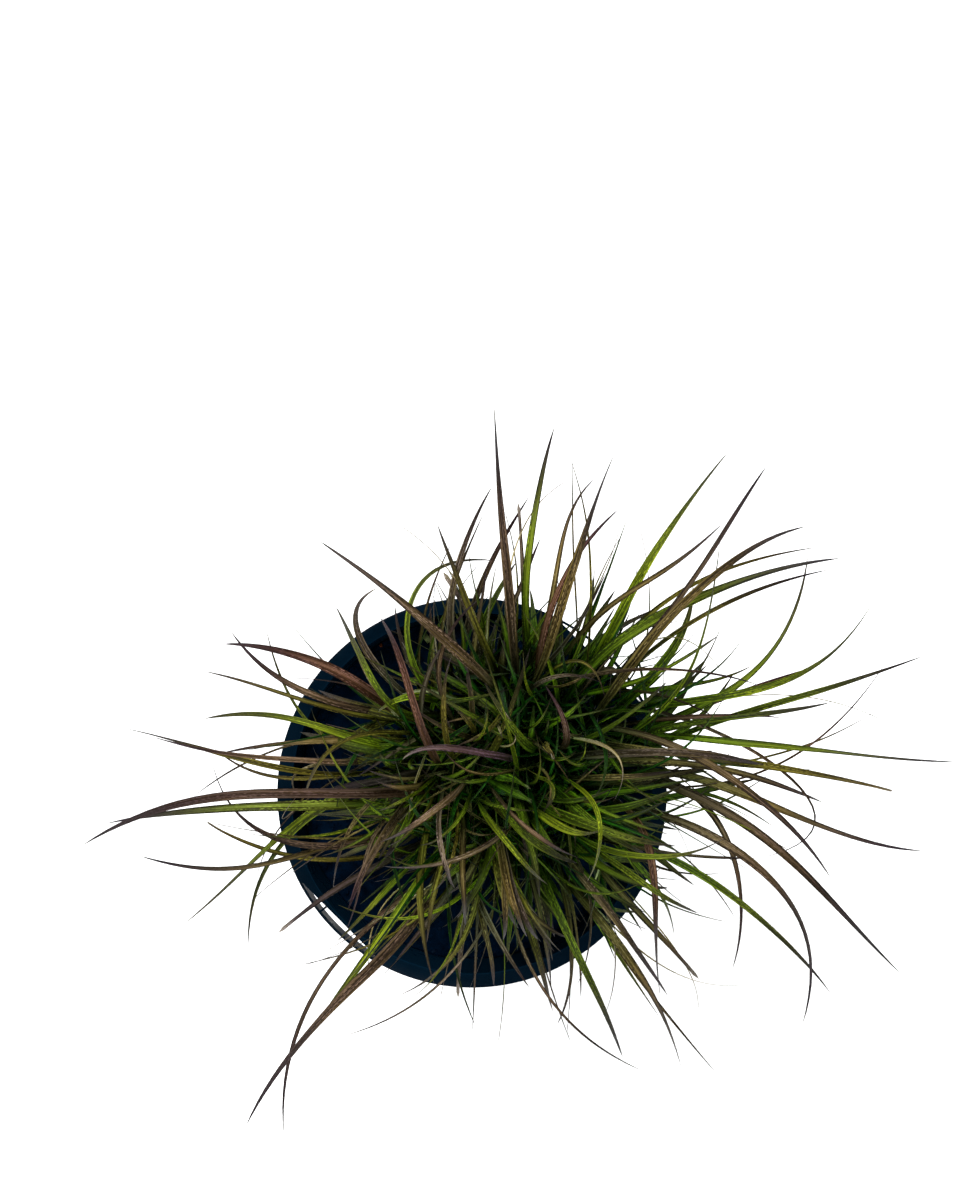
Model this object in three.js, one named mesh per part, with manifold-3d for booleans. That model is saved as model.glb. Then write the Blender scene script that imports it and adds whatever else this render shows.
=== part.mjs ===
// Potted petite purple fountain grass: a clump of leafy stems growing in a filled nursery pot.
// Millimetres, +Z up. The origin is the centre of the pot's flat base, and the X axis runs
// through the two finger grips in the rim.
import * as THREE from "three";
import { mergeVertices } from "three/addons/utils/BufferGeometryUtils.js";
import Module from "manifold-3d";

const wasm = await Module();
wasm.setup();

// Pot
const POT_HEIGHT = 215;
const RIM_RADIUS = 120;
const BASE_RADIUS = 94;
const FLOOR = 3;
const WALL = 1.6;
const TAPER = 0.081;
const STACKING_HEIGHT = 150;
const STACKING_STEP = 1.2;
const EDGE = 1;
const WEB = 1.8;
const SKIRT = 1.4;
const SKIRT_DROP = 14;
const GRIP_CHORD = 112.9;
const GRIP_INNER_RADIUS = 118.4;
const GRIP_RIB = 1.2;
const GRIP_RIB_ANGLE = 7;
const DRAIN_COUNT = 6;
const DRAIN_RADIUS = 7;
const DRAIN_CIRCLE = 70;
const DRAIN_SIDES = 8;
const POT_SIDES = 40;

// Soil
const SOIL_LEVEL = 190;
const CROWN_RISE = 7;
const CROWN_REACH = 80;
const SOIL_SIDES = 20;
const SOIL_RING = 88;
const LUMPS = { rise: 1.3, spanX: 9, spanY: 11, startX: 1.3, startY: -0.4 };
const CRUMBS = { rise: 0.8, span: 5.3 };
const GAP = 0.3;
const HOLE_DEPTH = 12;

// Clump of stems, in the plan of the photograph: x to its right, y to its top
const CLUMP = { x: 22.6, y: 24.4 };
const CLUMP_RADIUS = 46;
const STEM_COUNT = 44;
const STEM_RADIUS = 2.4;
const STEM_TOP_RADIUS = 1.5;
const STEM_SIDES = 5;
const STEM_LENGTH = [30, 62];
const STEM_LEAN = THREE.MathUtils.degToRad(24);
const STEM_SCATTER = 0.35;
const GOLDEN_ANGLE = Math.PI * (3 - Math.sqrt(5));
const GRIPS_TO_PHOTOGRAPH = -Math.PI / 4;

// Leaf blades. A blade's foot is somewhere in FOOT_SHARES of its stem's length; it widens from
// ROOT_SHARE of its width by FLARE, keeps its width, and tapers over the last TIP_SHARE of it.
const BLADES_PER_STEM = 7;
const LONG_STATIONS = [0, 0.2, 0.42, 0.64, 0.84, 1];
const FILL_STATIONS = [0, 0.3, 0.64, 1];
const KEEL = 0.9;
const FOOT_SHARES = [0.12, 0.96];
const FOOT_SCATTER = 0.8;
const ROOT_DEPTH = 1;
const ROOT_SHARE = 0.22;
const FLARE = 2.6;
const TIP_SHARE = 0.55;
const TIP_POWER = 0.62;
const LONG_ROLL = 0.7;
const LONG_TWIST = 1.3;
const FILL_ROLL = 0.8;
const FILL_TWIST = 1.4;

// Blades that fill the clump: lengths and widths, how steeply they rise in the middle of the clump
// and at its edge, how far their tips droop, and where along them they lean and bow
const FILL_LENGTH = [70, 165];
const FILL_WIDTH = [3.6, 6.6];
const FILL_LENGTH_SHARE = [0.85, 1.1];
const STEEPEST = [0.97, 0.88];
const FLATTEST = [0.75, 0.3];
const FAN = [Math.PI, 1.1];
const DROOP = [0.02, 0.3];
const EARLY = [0.25, 0.45];
const BOW = 0.36;

// How far from the clump's middle the tips of these blades may reach, for headings that go round
// in equal steps from the photograph's right towards its top, and the least share of it
const FILL_REACH = [152, 146, 128, 108, 100, 84, 74, 76, 92, 98, 100, 112, 116, 118, 120, 134];
const FILL_REACH_SHARE = [0.66, 1.06];
const SHORTEST_REACH = 8;

// Room for the blades: each tries several feet, heights and turns, and those of different stems
// never touch. WIDEST is more than two half widths and two keels.
const ATTEMPTS = 360;
const FILL_ATTEMPTS = 120;
const CROWDED_ATTEMPT = 90;
const SLACK_ATTEMPTS = 24;
const CREST_SLACK = 38;
const TIP_SLACK = 30;
const TIP_BELOW_CREST = 2;
const VIA_POWER = 0.85;
const VIA_SHARES = [0.3, 0.8];
const SWING_SCALE = 6.75;
const NEAREST_STEMS = 5;
const LOADED_STEM = 7;
const FOOT_AIM = 0.7;
const CLEAR_OF_STEM = 0.15;
const CLEARANCE = 0.3;
const WIDEST = 9;
const RIM_BAND = [103, 127];
const OVER_RIM = 222;
const OVER_SOIL = 204;
const OVER_GROUND = 20;
const LOOKS = [0.25, 0.5, 0.75, 1];

// The photograph looks straight down on the pot. Its eye is this far above the base and this far
// from the pot's axis, and the rim's circle is 195 pixels in radius in the 960 by 1200 frame.
const EYE = { x: 4.9, y: 118.8, z: 1065 };
const FRAME_CENTRE = [480, 600];
const RIM_PIXELS = 195;

// The long blades that stand out in the photograph, in pixels of its 960 by 1200 frame: where a
// blade leaves the clump, a point on its way and its tip, and on some a point nearer the clump.
// crest and end are the heights of its highest point and its tip above the base, and width is its
// full width, in millimetres.
const LONG_BLADES = [
  // Left side
  { root: [486, 798], near: [415, 791], via: [190, 804], tip: [80, 847], crest: 355, end: 265, width: 5.4 },
  { root: [450, 735], near: [381, 699], via: [300, 656], tip: [222, 644], crest: 325, end: 285, width: 7.2 },
  { root: [460, 752], near: [368, 741], via: [310, 724], tip: [203, 719], crest: 310, end: 270, width: 7 },
  { root: [440, 808], near: [350, 806], via: [250, 808], tip: [104, 824], crest: 300, end: 240, width: 4.4 },
  { root: [430, 815], near: [338, 847], via: [230, 868], tip: [137, 855], crest: 290, end: 215, width: 5.2 },
  { root: [400, 780], near: [320, 774], via: [222, 755], tip: [118, 727], crest: 285, end: 230, width: 4 },
  { root: [410, 775], via: [240, 755], tip: [150, 736], crest: 300, end: 255, width: 3.4 },
  { root: [450, 735], near: [358, 715], via: [285, 693], tip: [203, 671], crest: 290, end: 240, width: 4.2 },
  { root: [440, 745], near: [352, 707], via: [290, 686], tip: [230, 630], crest: 290, end: 225, width: 5.2 },
  { root: [445, 765], via: [300, 712], tip: [266, 628], crest: 260, end: 235, width: 3.4 },
  { root: [450, 750], via: [300, 741], tip: [218, 754], crest: 295, end: 235, width: 4.8 },
  { root: [440, 745], via: [280, 747], tip: [193, 797], crest: 280, end: 215, width: 2.8 },
  { root: [450, 780], near: [350, 775], via: [262, 774], tip: [214, 748], crest: 270, end: 225, width: 3.8 },
  { root: [450, 820], near: [326, 847], via: [260, 831], tip: [211, 757], crest: 285, end: 220, width: 4.6 },
  { root: [440, 830], via: [250, 845], tip: [192, 812], crest: 265, end: 225, width: 3.8 },
  { root: [440, 800], near: [300, 822], via: [240, 874], tip: [183, 925], crest: 280, end: 205, width: 4.2 },
  { root: [450, 815], via: [258, 890], tip: [248, 950], crest: 275, end: 200, width: 4.2 },
  { root: [455, 815], via: [340, 888], tip: [278, 933], crest: 280, end: 240, width: 5.6 },
  { root: [440, 760], via: [325, 757], tip: [301, 820], crest: 300, end: 270, width: 3 },
  { root: [450, 790], via: [352, 826], tip: [333, 896], crest: 300, end: 255, width: 3 },
  // Upper left
  { root: [530, 724], near: [474, 668], via: [407, 606], tip: [318, 540], crest: 385, end: 330, width: 6.6 },
  { root: [450, 735], near: [376, 664], via: [355, 617], tip: [380, 587], crest: 265, end: 245, width: 6.2 },
  { root: [455, 735], near: [376, 687], via: [355, 644], tip: [335, 605], crest: 290, end: 255, width: 5.2 },
  { root: [450, 795], near: [435, 758], via: [412, 700], tip: [380, 617], crest: 375, end: 335, width: 5.4 },
  { root: [460, 730], via: [408, 660], tip: [395, 605], crest: 270, end: 245, width: 4.4 },
  { root: [480, 720], near: [410, 643], via: [415, 592], tip: [497, 561], crest: 300, end: 290, width: 4.8 },
  { root: [520, 710], via: [462, 592], tip: [437, 523], crest: 330, end: 280, width: 4.8 },
  { root: [490, 720], via: [470, 615], tip: [443, 572], crest: 300, end: 275, width: 6.6 },
  { root: [470, 720], via: [447, 640], tip: [455, 585], crest: 280, end: 255, width: 5.4 },
  { root: [440, 750], via: [440, 665], tip: [478, 600], crest: 330, end: 310, width: 3.4 },
  { root: [475, 725], via: [430, 690], tip: [382, 712], crest: 290, end: 275, width: 3.8 },
  { root: [445, 790], via: [443, 725], tip: [452, 655], crest: 350, end: 345, width: 3.6 },
  { root: [445, 740], via: [420, 672], tip: [402, 642], crest: 285, end: 270, width: 3.2 },
  // Top
  { root: [518, 725], via: [503, 545], tip: [494, 403], crest: 345, end: 290, width: 5.8 },
  { root: [480, 715], via: [466, 540], tip: [493, 485], crest: 310, end: 265, width: 4.8 },
  { root: [460, 715], via: [480, 590], tip: [530, 495], crest: 320, end: 285, width: 4.6 },
  { root: [520, 720], via: [541, 478], tip: [555, 425], crest: 340, end: 300, width: 5 },
  { root: [515, 700], via: [523, 560], tip: [518, 502], crest: 310, end: 290, width: 4.6 },
  { root: [518, 724], near: [544, 654], via: [582, 546], tip: [616, 450], crest: 365, end: 310, width: 5.6 },
  { root: [530, 700], near: [555, 575], via: [570, 518], tip: [597, 477], crest: 320, end: 280, width: 3.8 },
  { root: [525, 710], via: [570, 565], tip: [620, 508], crest: 330, end: 290, width: 4.2 },
  { root: [495, 700], via: [515, 600], tip: [541, 537], crest: 330, end: 300, width: 4.2 },
  { root: [560, 710], via: [588, 612], tip: [593, 578], crest: 290, end: 285, width: 4.2 },
  // Upper right
  { root: [575, 710], via: [672, 528], tip: [730, 450], crest: 340, end: 300, width: 5.8 },
  { root: [570, 735], near: [655, 632], via: [713, 547], tip: [768, 464], crest: 340, end: 285, width: 5.8 },
  { root: [575, 745], near: [665, 625], via: [743, 552], tip: [808, 526], crest: 335, end: 280, width: 5.8 },
  { root: [580, 760], via: [735, 581], tip: [842, 558], crest: 300, end: 260, width: 7 },
  { root: [580, 745], via: [748, 563], tip: [820, 547], crest: 305, end: 270, width: 3.2 },
  { root: [575, 740], via: [720, 606], tip: [832, 569], crest: 300, end: 255, width: 4 },
  { root: [600, 750], near: [700, 708], via: [775, 645], tip: [808, 553], crest: 300, end: 235, width: 4.8 },
  { root: [600, 745], near: [706, 700], via: [808, 671], tip: [874, 600], crest: 310, end: 240, width: 5 },
  { root: [600, 755], via: [720, 700], tip: [818, 666], crest: 290, end: 260, width: 3.8 },
  { root: [600, 765], near: [679, 690], via: [703, 638], tip: [720, 540], crest: 330, end: 290, width: 3.2 },
  { root: [570, 715], via: [690, 655], tip: [719, 635], crest: 310, end: 285, width: 4 },
  { root: [585, 735], near: [655, 689], via: [680, 686], tip: [753, 665], crest: 290, end: 265, width: 3.8 },
  { root: [560, 680], near: [620, 600], via: [660, 572], tip: [724, 522], crest: 330, end: 290, width: 4 },
  { root: [550, 700], via: [600, 640], tip: [662, 607], crest: 285, end: 265, width: 6 },
  { root: [545, 690], via: [680, 670], tip: [760, 686], crest: 350, end: 320, width: 2.4 },
  { root: [600, 735], near: [640, 688], via: [676, 645], tip: [693, 585], crest: 305, end: 285, width: 7 },
  // Right side
  { root: [610, 760], near: [720, 719], via: [847, 683], tip: [926, 655], crest: 300, end: 240, width: 4.8 },
  { root: [605, 765], near: [710, 718], via: [740, 715], tip: [832, 702], crest: 285, end: 250, width: 6 },
  { root: [590, 740], via: [690, 716], tip: [783, 718], crest: 310, end: 280, width: 3.4 },
  { root: [600, 735], near: [727, 742], via: [830, 752], tip: [960, 762], crest: 320, end: 250, width: 4.6 },
  { root: [590, 765], via: [835, 778], tip: [898, 791], crest: 315, end: 250, width: 5.2 },
  { root: [580, 755], via: [730, 772], tip: [824, 803], crest: 300, end: 260, width: 5.6 },
  { root: [570, 745], via: [760, 797], tip: [832, 880], crest: 345, end: 270, width: 5 },
  { root: [595, 770], near: [722, 787], via: [810, 823], tip: [925, 851], crest: 300, end: 235, width: 5.6 },
  { root: [600, 780], via: [715, 797], tip: [775, 828], crest: 280, end: 250, width: 3.2 },
  { root: [620, 765], near: [790, 777], via: [815, 815], tip: [755, 859], crest: 300, end: 240, width: 2.4 },
  { root: [550, 750], via: [680, 753], tip: [765, 765], crest: 335, end: 290, width: 6.8 },
  { root: [560, 785], via: [640, 778], tip: [720, 765], crest: 310, end: 290, width: 5.4 },
  { root: [545, 815], via: [610, 793], tip: [690, 762], crest: 325, end: 300, width: 4.6 },
  // Lower right
  { root: [590, 775], near: [712, 803], via: [790, 862], tip: [903, 976], crest: 320, end: 230, width: 5.8 },
  { root: [590, 795], near: [722, 843], via: [804, 928], tip: [802, 1026], crest: 320, end: 235, width: 5.8 },
  { root: [590, 780], near: [710, 811], via: [736, 865], tip: [732, 970], crest: 330, end: 250, width: 4.2 },
  { root: [590, 825], via: [760, 920], tip: [832, 995], crest: 300, end: 230, width: 4.6 },
  { root: [570, 820], via: [640, 915], tip: [699, 979], crest: 300, end: 250, width: 5 },
  { root: [570, 800], near: [650, 852], via: [657, 930], tip: [661, 1000], crest: 335, end: 250, width: 5 },
  { root: [585, 830], via: [650, 880], tip: [674, 935], crest: 270, end: 240, width: 3.8 },
  { root: [550, 825], via: [602, 902], tip: [668, 996], crest: 325, end: 260, width: 5 },
  { root: [545, 840], near: [612, 934], via: [645, 983], tip: [682, 1070], crest: 300, end: 225, width: 5.6 },
  { root: [555, 850], via: [660, 1005], tip: [718, 1075], crest: 270, end: 210, width: 2.6 },
  { root: [560, 840], via: [615, 950], tip: [660, 1018], crest: 270, end: 225, width: 3.2 },
  // Bottom
  { root: [530, 835], via: [575, 945], tip: [623, 1058], crest: 320, end: 245, width: 5.2 },
  { root: [525, 840], via: [553, 1005], tip: [645, 1072], crest: 280, end: 215, width: 2.6 },
  { root: [520, 830], via: [532, 940], tip: [553, 1012], crest: 290, end: 225, width: 5.6 },
  { root: [530, 830], via: [545, 930], tip: [551, 992], crest: 280, end: 235, width: 4.6 },
  { root: [540, 830], via: [572, 930], tip: [557, 1025], crest: 300, end: 225, width: 4.6 },
  { root: [495, 850], via: [476, 975], tip: [472, 1034], crest: 270, end: 225, width: 2.2 },
  { root: [475, 830], via: [462, 930], tip: [458, 998], crest: 285, end: 240, width: 5 },
  // Lower left
  { root: [470, 830], near: [391, 948], via: [335, 1007], tip: [245, 1128], crest: 310, end: 225, width: 7 },
  { root: [465, 825], near: [372, 925], via: [318, 990], tip: [284, 1138], crest: 290, end: 205, width: 4.6 },
  { root: [470, 815], via: [380, 938], tip: [306, 1038], crest: 320, end: 260, width: 5.6 },
  { root: [500, 840], via: [450, 972], tip: [340, 1037], crest: 280, end: 215, width: 2.6 },
  { root: [480, 835], via: [452, 955], tip: [395, 997], crest: 265, end: 225, width: 3.8 },
  { root: [480, 825], via: [440, 905], tip: [396, 960], crest: 265, end: 240, width: 6.6 },
  { root: [460, 810], via: [385, 893], tip: [335, 943], crest: 275, end: 245, width: 5 },
  { root: [450, 805], near: [368, 850], via: [360, 885], tip: [345, 932], crest: 310, end: 290, width: 3.2 },
  // Over the middle
  { root: [545, 768], near: [515, 757], via: [468, 750], tip: [402, 760], crest: 385, end: 365, width: 5 },
  { root: [538, 768], via: [566, 741], tip: [545, 685], crest: 372, end: 360, width: 4.4 },
  { root: [553, 764], via: [585, 795], tip: [587, 882], crest: 385, end: 330, width: 3 },
  { root: [525, 775], via: [552, 787], tip: [542, 812], crest: 380, end: 360, width: 2.6 },
  { root: [494, 793], near: [509, 822], via: [463, 858], tip: [383, 866], crest: 375, end: 320, width: 3.4 },
  { root: [488, 768], via: [447, 798], tip: [380, 842], crest: 385, end: 345, width: 4.6 },
  { root: [460, 800], via: [500, 832], tip: [548, 885], crest: 380, end: 335, width: 3.8 },
  { root: [449, 800], via: [441, 835], tip: [455, 888], crest: 375, end: 330, width: 3.6 },
  { root: [570, 725], via: [604, 745], tip: [613, 802], crest: 385, end: 355, width: 2.2 },
];

// Materials
const POT_FINISH = { color: 0x0b2233, roughness: 0.5, metalness: 0 };
const SOIL_FINISH = { color: 0x0e0f12, roughness: 1, metalness: 0 };
const LEAF_COLOURS = [0x6e8228, 0x5a5f1e, 0x4b3232, 0x78693c];
const LEAF_ROUGHNESS = 0.6;

// A repeatable draw from 0 to 1 for one stem, blade, attempt and trait
function draw(stem, blade, attempt, trait) {
  let mix = Math.imul(stem + 1, 0x9e3779b1) ^ Math.imul(blade + 1, 0x85ebca6b);
  mix ^= Math.imul(attempt + 1, 0xc2b2ae35) ^ Math.imul(trait + 1, 0x27d4eb2f);
  mix = Math.imul(mix ^ (mix >>> 15), 0x2c1b3c6d);
  mix = Math.imul(mix ^ (mix >>> 12), 0x297a2d39);
  mix ^= mix >>> 15;
  return (mix >>> 0) / 4294967296;
}

function between(low, high, share) {
  return low + (high - low) * share;
}

// The solid of a closed geometry
function solidOf(geometry) {
  geometry.deleteAttribute("normal");
  geometry.deleteAttribute("uv");
  const merged = mergeVertices(geometry, 1e-4);
  const corners = Array.from(merged.index.array);
  const kept = [];
  for (let i = 0; i < corners.length; i += 3) {
    const [a, b, c] = corners.slice(i, i + 3);
    if (a !== b && b !== c && c !== a) {
      kept.push(a, b, c);
    }
  }
  const vertProperties = Float32Array.from(merged.attributes.position.array);
  const triVerts = Uint32Array.from(kept);
  return new wasm.Manifold(new wasm.Mesh({ numProp: 3, vertProperties, triVerts }));
}

function geometryOf(solid) {
  const mesh = solid.getMesh();
  const geometry = new THREE.BufferGeometry();
  geometry.setAttribute("position", new THREE.BufferAttribute(mesh.vertProperties, 3));
  geometry.setIndex(new THREE.BufferAttribute(mesh.triVerts, 1));
  geometry.computeVertexNormals();
  return geometry;
}

function pieceOf(name, geometry, finish) {
  const mesh = new THREE.Mesh(geometry, new THREE.MeshStandardMaterial(finish));
  mesh.name = name;
  return mesh;
}

// A solid of revolution about Z from a profile of [radius, height] points, bottom outwards
function turned(profile, sides) {
  const points = profile.map(([radius, height]) => new THREE.Vector2(radius, height));
  return new THREE.LatheGeometry(points, sides).rotateX(Math.PI / 2);
}

function wallOutside(height) {
  return BASE_RADIUS + TAPER * height + (height > STACKING_HEIGHT ? STACKING_STEP : 0);
}

function wallInside(height) {
  return wallOutside(height) - WALL;
}

function potProfile() {
  const underWeb = POT_HEIGHT - WEB;
  const skirtFoot = POT_HEIGHT - SKIRT_DROP;
  return [
    [0, 0],
    [BASE_RADIUS - EDGE, 0],
    [BASE_RADIUS, EDGE],
    [wallOutside(STACKING_HEIGHT - EDGE), STACKING_HEIGHT - EDGE],
    [wallOutside(STACKING_HEIGHT + EDGE), STACKING_HEIGHT + EDGE],
    [wallOutside(underWeb), underWeb],
    [RIM_RADIUS - SKIRT, underWeb],
    [RIM_RADIUS - SKIRT, skirtFoot],
    [RIM_RADIUS, skirtFoot],
    [RIM_RADIUS, POT_HEIGHT - EDGE],
    [RIM_RADIUS - EDGE, POT_HEIGHT],
    [wallInside(POT_HEIGHT) + EDGE, POT_HEIGHT],
    [wallInside(POT_HEIGHT), POT_HEIGHT - EDGE],
    [wallInside(STACKING_HEIGHT + EDGE), STACKING_HEIGHT + EDGE],
    [wallInside(STACKING_HEIGHT - EDGE), STACKING_HEIGHT - EDGE],
    [wallInside(FLOOR), FLOOR],
    [0, FLOOR],
  ];
}

// The slot of one finger grip: the rim's web beyond a straight chord, less two thin ribs
function gripCutter(side) {
  const depth = WEB * 3;
  const level = POT_HEIGHT - WEB / 2;
  const disc = new THREE.CylinderGeometry(GRIP_INNER_RADIUS, GRIP_INNER_RADIUS, depth, POT_SIDES);
  disc.rotateX(Math.PI / 2).translate(0, 0, level);
  const block = new THREE.BoxGeometry(RIM_RADIUS, RIM_RADIUS, depth * 2);
  block.translate(side * (GRIP_CHORD + RIM_RADIUS / 2), 0, level);
  let slot = solidOf(disc).intersect(solidOf(block));
  for (const turn of [-GRIP_RIB_ANGLE, GRIP_RIB_ANGLE]) {
    const rib = new THREE.BoxGeometry(RIM_RADIUS, GRIP_RIB, depth * 3);
    rib.translate(side * RIM_RADIUS, 0, level).rotateZ(THREE.MathUtils.degToRad(turn));
    slot = slot.subtract(solidOf(rib));
  }
  return slot;
}

function makePot() {
  let pot = solidOf(turned(potProfile(), POT_SIDES));
  for (const side of [-1, 1]) {
    pot = pot.subtract(gripCutter(side));
  }
  for (let i = 0; i < DRAIN_COUNT; i += 1) {
    const turn = ((i + 0.5) * 2 * Math.PI) / DRAIN_COUNT;
    const drain = new THREE.CylinderGeometry(DRAIN_RADIUS, DRAIN_RADIUS, FLOOR * 3, DRAIN_SIDES);
    drain.rotateX(Math.PI / 2).translate(DRAIN_CIRCLE, 0, FLOOR / 2).rotateZ(turn);
    pot = pot.subtract(solidOf(drain));
  }
  return pieceOf("pot", geometryOf(pot), POT_FINISH);
}

// The soil's surface, highest round the crown of the plant
function soilHeight(x, y) {
  const fromCrown = Math.hypot(x - CLUMP.x, y - CLUMP.y) / CROWN_REACH;
  const mound = CROWN_RISE * Math.max(0, 1 - fromCrown * fromCrown);
  const { rise, spanX, spanY, startX, startY } = LUMPS;
  const lumps = rise * Math.sin(x / spanX + startX) * Math.cos(y / spanY + startY);
  return SOIL_LEVEL + mound + lumps + CRUMBS.rise * Math.sin((x + y) / CRUMBS.span);
}

function makeSoil(stems) {
  const foot = FLOOR + GAP;
  const step = STACKING_HEIGHT - EDGE;
  const profile = [
    [0, foot],
    [wallInside(foot) - GAP, foot],
    [wallInside(step) - GAP, step],
    [wallInside(SOIL_LEVEL - CROWN_RISE) - GAP, SOIL_LEVEL - CROWN_RISE],
    [wallInside(SOIL_LEVEL) - GAP * 2, SOIL_LEVEL],
    [SOIL_RING, SOIL_LEVEL],
    [0, SOIL_LEVEL],
  ];
  const geometry = turned(profile, SOIL_SIDES);
  const spots = geometry.attributes.position;
  for (let i = 0; i < spots.count; i += 1) {
    if (spots.getZ(i) > SOIL_LEVEL - EDGE) {
      spots.setZ(i, soilHeight(spots.getX(i), spots.getY(i)));
    }
  }
  let soil = solidOf(geometry);
  for (const stem of stems) {
    const radius = STEM_RADIUS + GAP;
    const hole = new THREE.CylinderGeometry(radius, radius, HOLE_DEPTH * 2, STEM_SIDES);
    soil = soil.subtract(solidOf(placeAlong(hole, stem.base, stem.aim, 0)));
  }
  return pieceOf("soil", geometryOf(soil), SOIL_FINISH);
}

// Turn a geometry that stands along Y to stand along a direction, its middle this far from a point
function placeAlong(geometry, [x, y, z], aim, shift) {
  const direction = new THREE.Vector3(...aim);
  const turn = new THREE.Quaternion().setFromUnitVectors(new THREE.Vector3(0, 1, 0), direction);
  const offset = direction.clone().multiplyScalar(shift);
  return geometry.applyQuaternion(turn).translate(x + offset.x, y + offset.y, z + offset.z);
}

// Where a stem stands, how it leans and how long it is
function makeStem(index) {
  const spread = Math.sqrt((index + 0.5) / STEM_COUNT);
  const turn = index * GOLDEN_ANGLE + STEM_SCATTER * (draw(index, 0, 0, 1) - 0.5);
  const x = CLUMP.x + CLUMP_RADIUS * spread * Math.cos(turn);
  const y = CLUMP.y + CLUMP_RADIUS * spread * Math.sin(turn);
  const lean = STEM_LEAN * spread;
  const aim = [Math.sin(lean) * Math.cos(turn), Math.sin(lean) * Math.sin(turn), Math.cos(lean)];
  const length = between(STEM_LENGTH[0], STEM_LENGTH[1], draw(index, 0, 0, 2));
  return { index, base: [x, y, soilHeight(x, y)], aim, turn, spread, length, blades: [] };
}

function onStem(stem, share) {
  return stem.base.map((value, axis) => value + stem.aim[axis] * stem.length * share);
}

// A blade's foot: just inside the stem's skin, on the side that the blade leaves from
function footOn(stem, chance, [dx, dy]) {
  const step = (stem.blades.length + FOOT_SCATTER * chance) / BLADES_PER_STEM;
  const share = between(FOOT_SHARES[0], FOOT_SHARES[1], step);
  const [x, y, z] = onStem(stem, share);
  const radius = between(STEM_RADIUS, STEM_TOP_RADIUS, share) - ROOT_DEPTH;
  return [x + radius * dx, y + radius * dy, z];
}

// The point under a pixel of the photograph at a height above the base
function underPixel([column, row], height) {
  const scale = ((RIM_RADIUS / RIM_PIXELS) * (EYE.z - height)) / (EYE.z - POT_HEIGHT);
  const x = EYE.x + (column - FRAME_CENTRE[0]) * scale;
  const y = EYE.y - (row - FRAME_CENTRE[1]) * scale;
  return [x, y, height];
}

// The middle handle's height of a curve from one height to another whose top is the crest
function handleHeight(start, end, crest) {
  return crest + Math.sqrt((crest - start) * (crest - end));
}

// How much a curve has swung off its arc at s: all of its swing a third of the way along
function swingShare(s) {
  return SWING_SCALE * s * (1 - s) * (1 - s);
}

function onCurve({ foot, handle, tip, swing }, s) {
  const swung = swingShare(s);
  return foot.map((value, axis) => {
    const arc = (1 - s) * (1 - s) * value + 2 * s * (1 - s) * handle[axis] + s * s * tip[axis];
    return arc + swung * swing[axis];
  });
}

function widthAt(blade, s) {
  return blade.width * Math.min(ROOT_SHARE + FLARE * s, 1, ((1 - s) / TIP_SHARE) ** TIP_POWER);
}

// The unit vector across the blade at s, and the one out of its upper face
function framesAt({ foot, handle, tip, swing, roll, twist }, s) {
  const swinging = (SWING_SCALE / 2) * (1 - s) * (1 - 3 * s);
  const along = foot.map((value, axis) => {
    const arc = (1 - s) * (handle[axis] - value) + s * (tip[axis] - handle[axis]);
    return arc + swinging * swing[axis];
  });
  const length = Math.hypot(...along);
  const [x, y, z] = along.map((value) => value / length);
  const level = Math.hypot(x, y);
  const flat = [y / level, -x / level, 0];
  const up = [flat[1] * z, -flat[0] * z, flat[0] * y - flat[1] * x];
  const turn = roll + twist * s;
  const across = flat.map((value, axis) => value * Math.cos(turn) + up[axis] * Math.sin(turn));
  const face = up.map((value, axis) => value * Math.cos(turn) - flat[axis] * Math.sin(turn));
  return { across, face };
}

// The straight links between a blade's stations, for keeping blades of different stems apart
function linksOf(blade) {
  const stops = blade.stations.map((s) => {
    const half = widthAt(blade, s) / 2;
    const reach = framesAt(blade, s).across.map((value) => value * half);
    return { point: onCurve(blade, s), reach };
  });
  const links = [];
  for (let i = 1; i < stops.length; i += 1) {
    links.push({ a: stops[i - 1], b: stops[i], thick: KEEL });
  }
  const leaving = stops[0].point.map((value, axis) => between(value, stops[1].point[axis], CLEAR_OF_STEM));
  links[0].beyondStem = { a: { point: leaving, reach: stops[0].reach }, b: stops[1], thick: KEEL };
  return links;
}

function stemLink(stem) {
  const reach = [0, 0, 0];
  const a = { point: onStem(stem, 0), reach };
  return { a, b: { point: onStem(stem, 1), reach }, thick: STEM_RADIUS };
}

function dot(a, b) {
  return a[0] * b[0] + a[1] * b[1] + a[2] * b[2];
}

function minus(a, b) {
  return [a[0] - b[0], a[1] - b[1], a[2] - b[2]];
}

function clampShare(value) {
  return Math.min(1, Math.max(0, value));
}

// The room left between two links along the line between their nearest points
function roomBetween(first, second) {
  const d1 = minus(first.b.point, first.a.point);
  const d2 = minus(second.b.point, second.a.point);
  const r = minus(first.a.point, second.a.point);
  const a = dot(d1, d1);
  const e = dot(d2, d2);
  const b = dot(d1, d2);
  const c = dot(d1, r);
  const f = dot(d2, r);
  let s = clampShare((b * f - c * e) / Math.max(a * e - b * b, 1e-9));
  let t = (b * s + f) / e;
  if (t < 0 || t > 1) {
    t = clampShare(t);
    s = clampShare((b * t - c) / a);
  }
  const gap = [0, 1, 2].map((axis) => r[axis] + d1[axis] * s - d2[axis] * t);
  const length = Math.max(Math.hypot(...gap), 1e-6);
  const taken = [first, second].map(({ a: from, b: to, thick }) => {
    return thick + Math.max(Math.abs(dot(gap, from.reach)), Math.abs(dot(gap, to.reach))) / length;
  });
  return length - taken[0] - taken[1];
}

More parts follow.
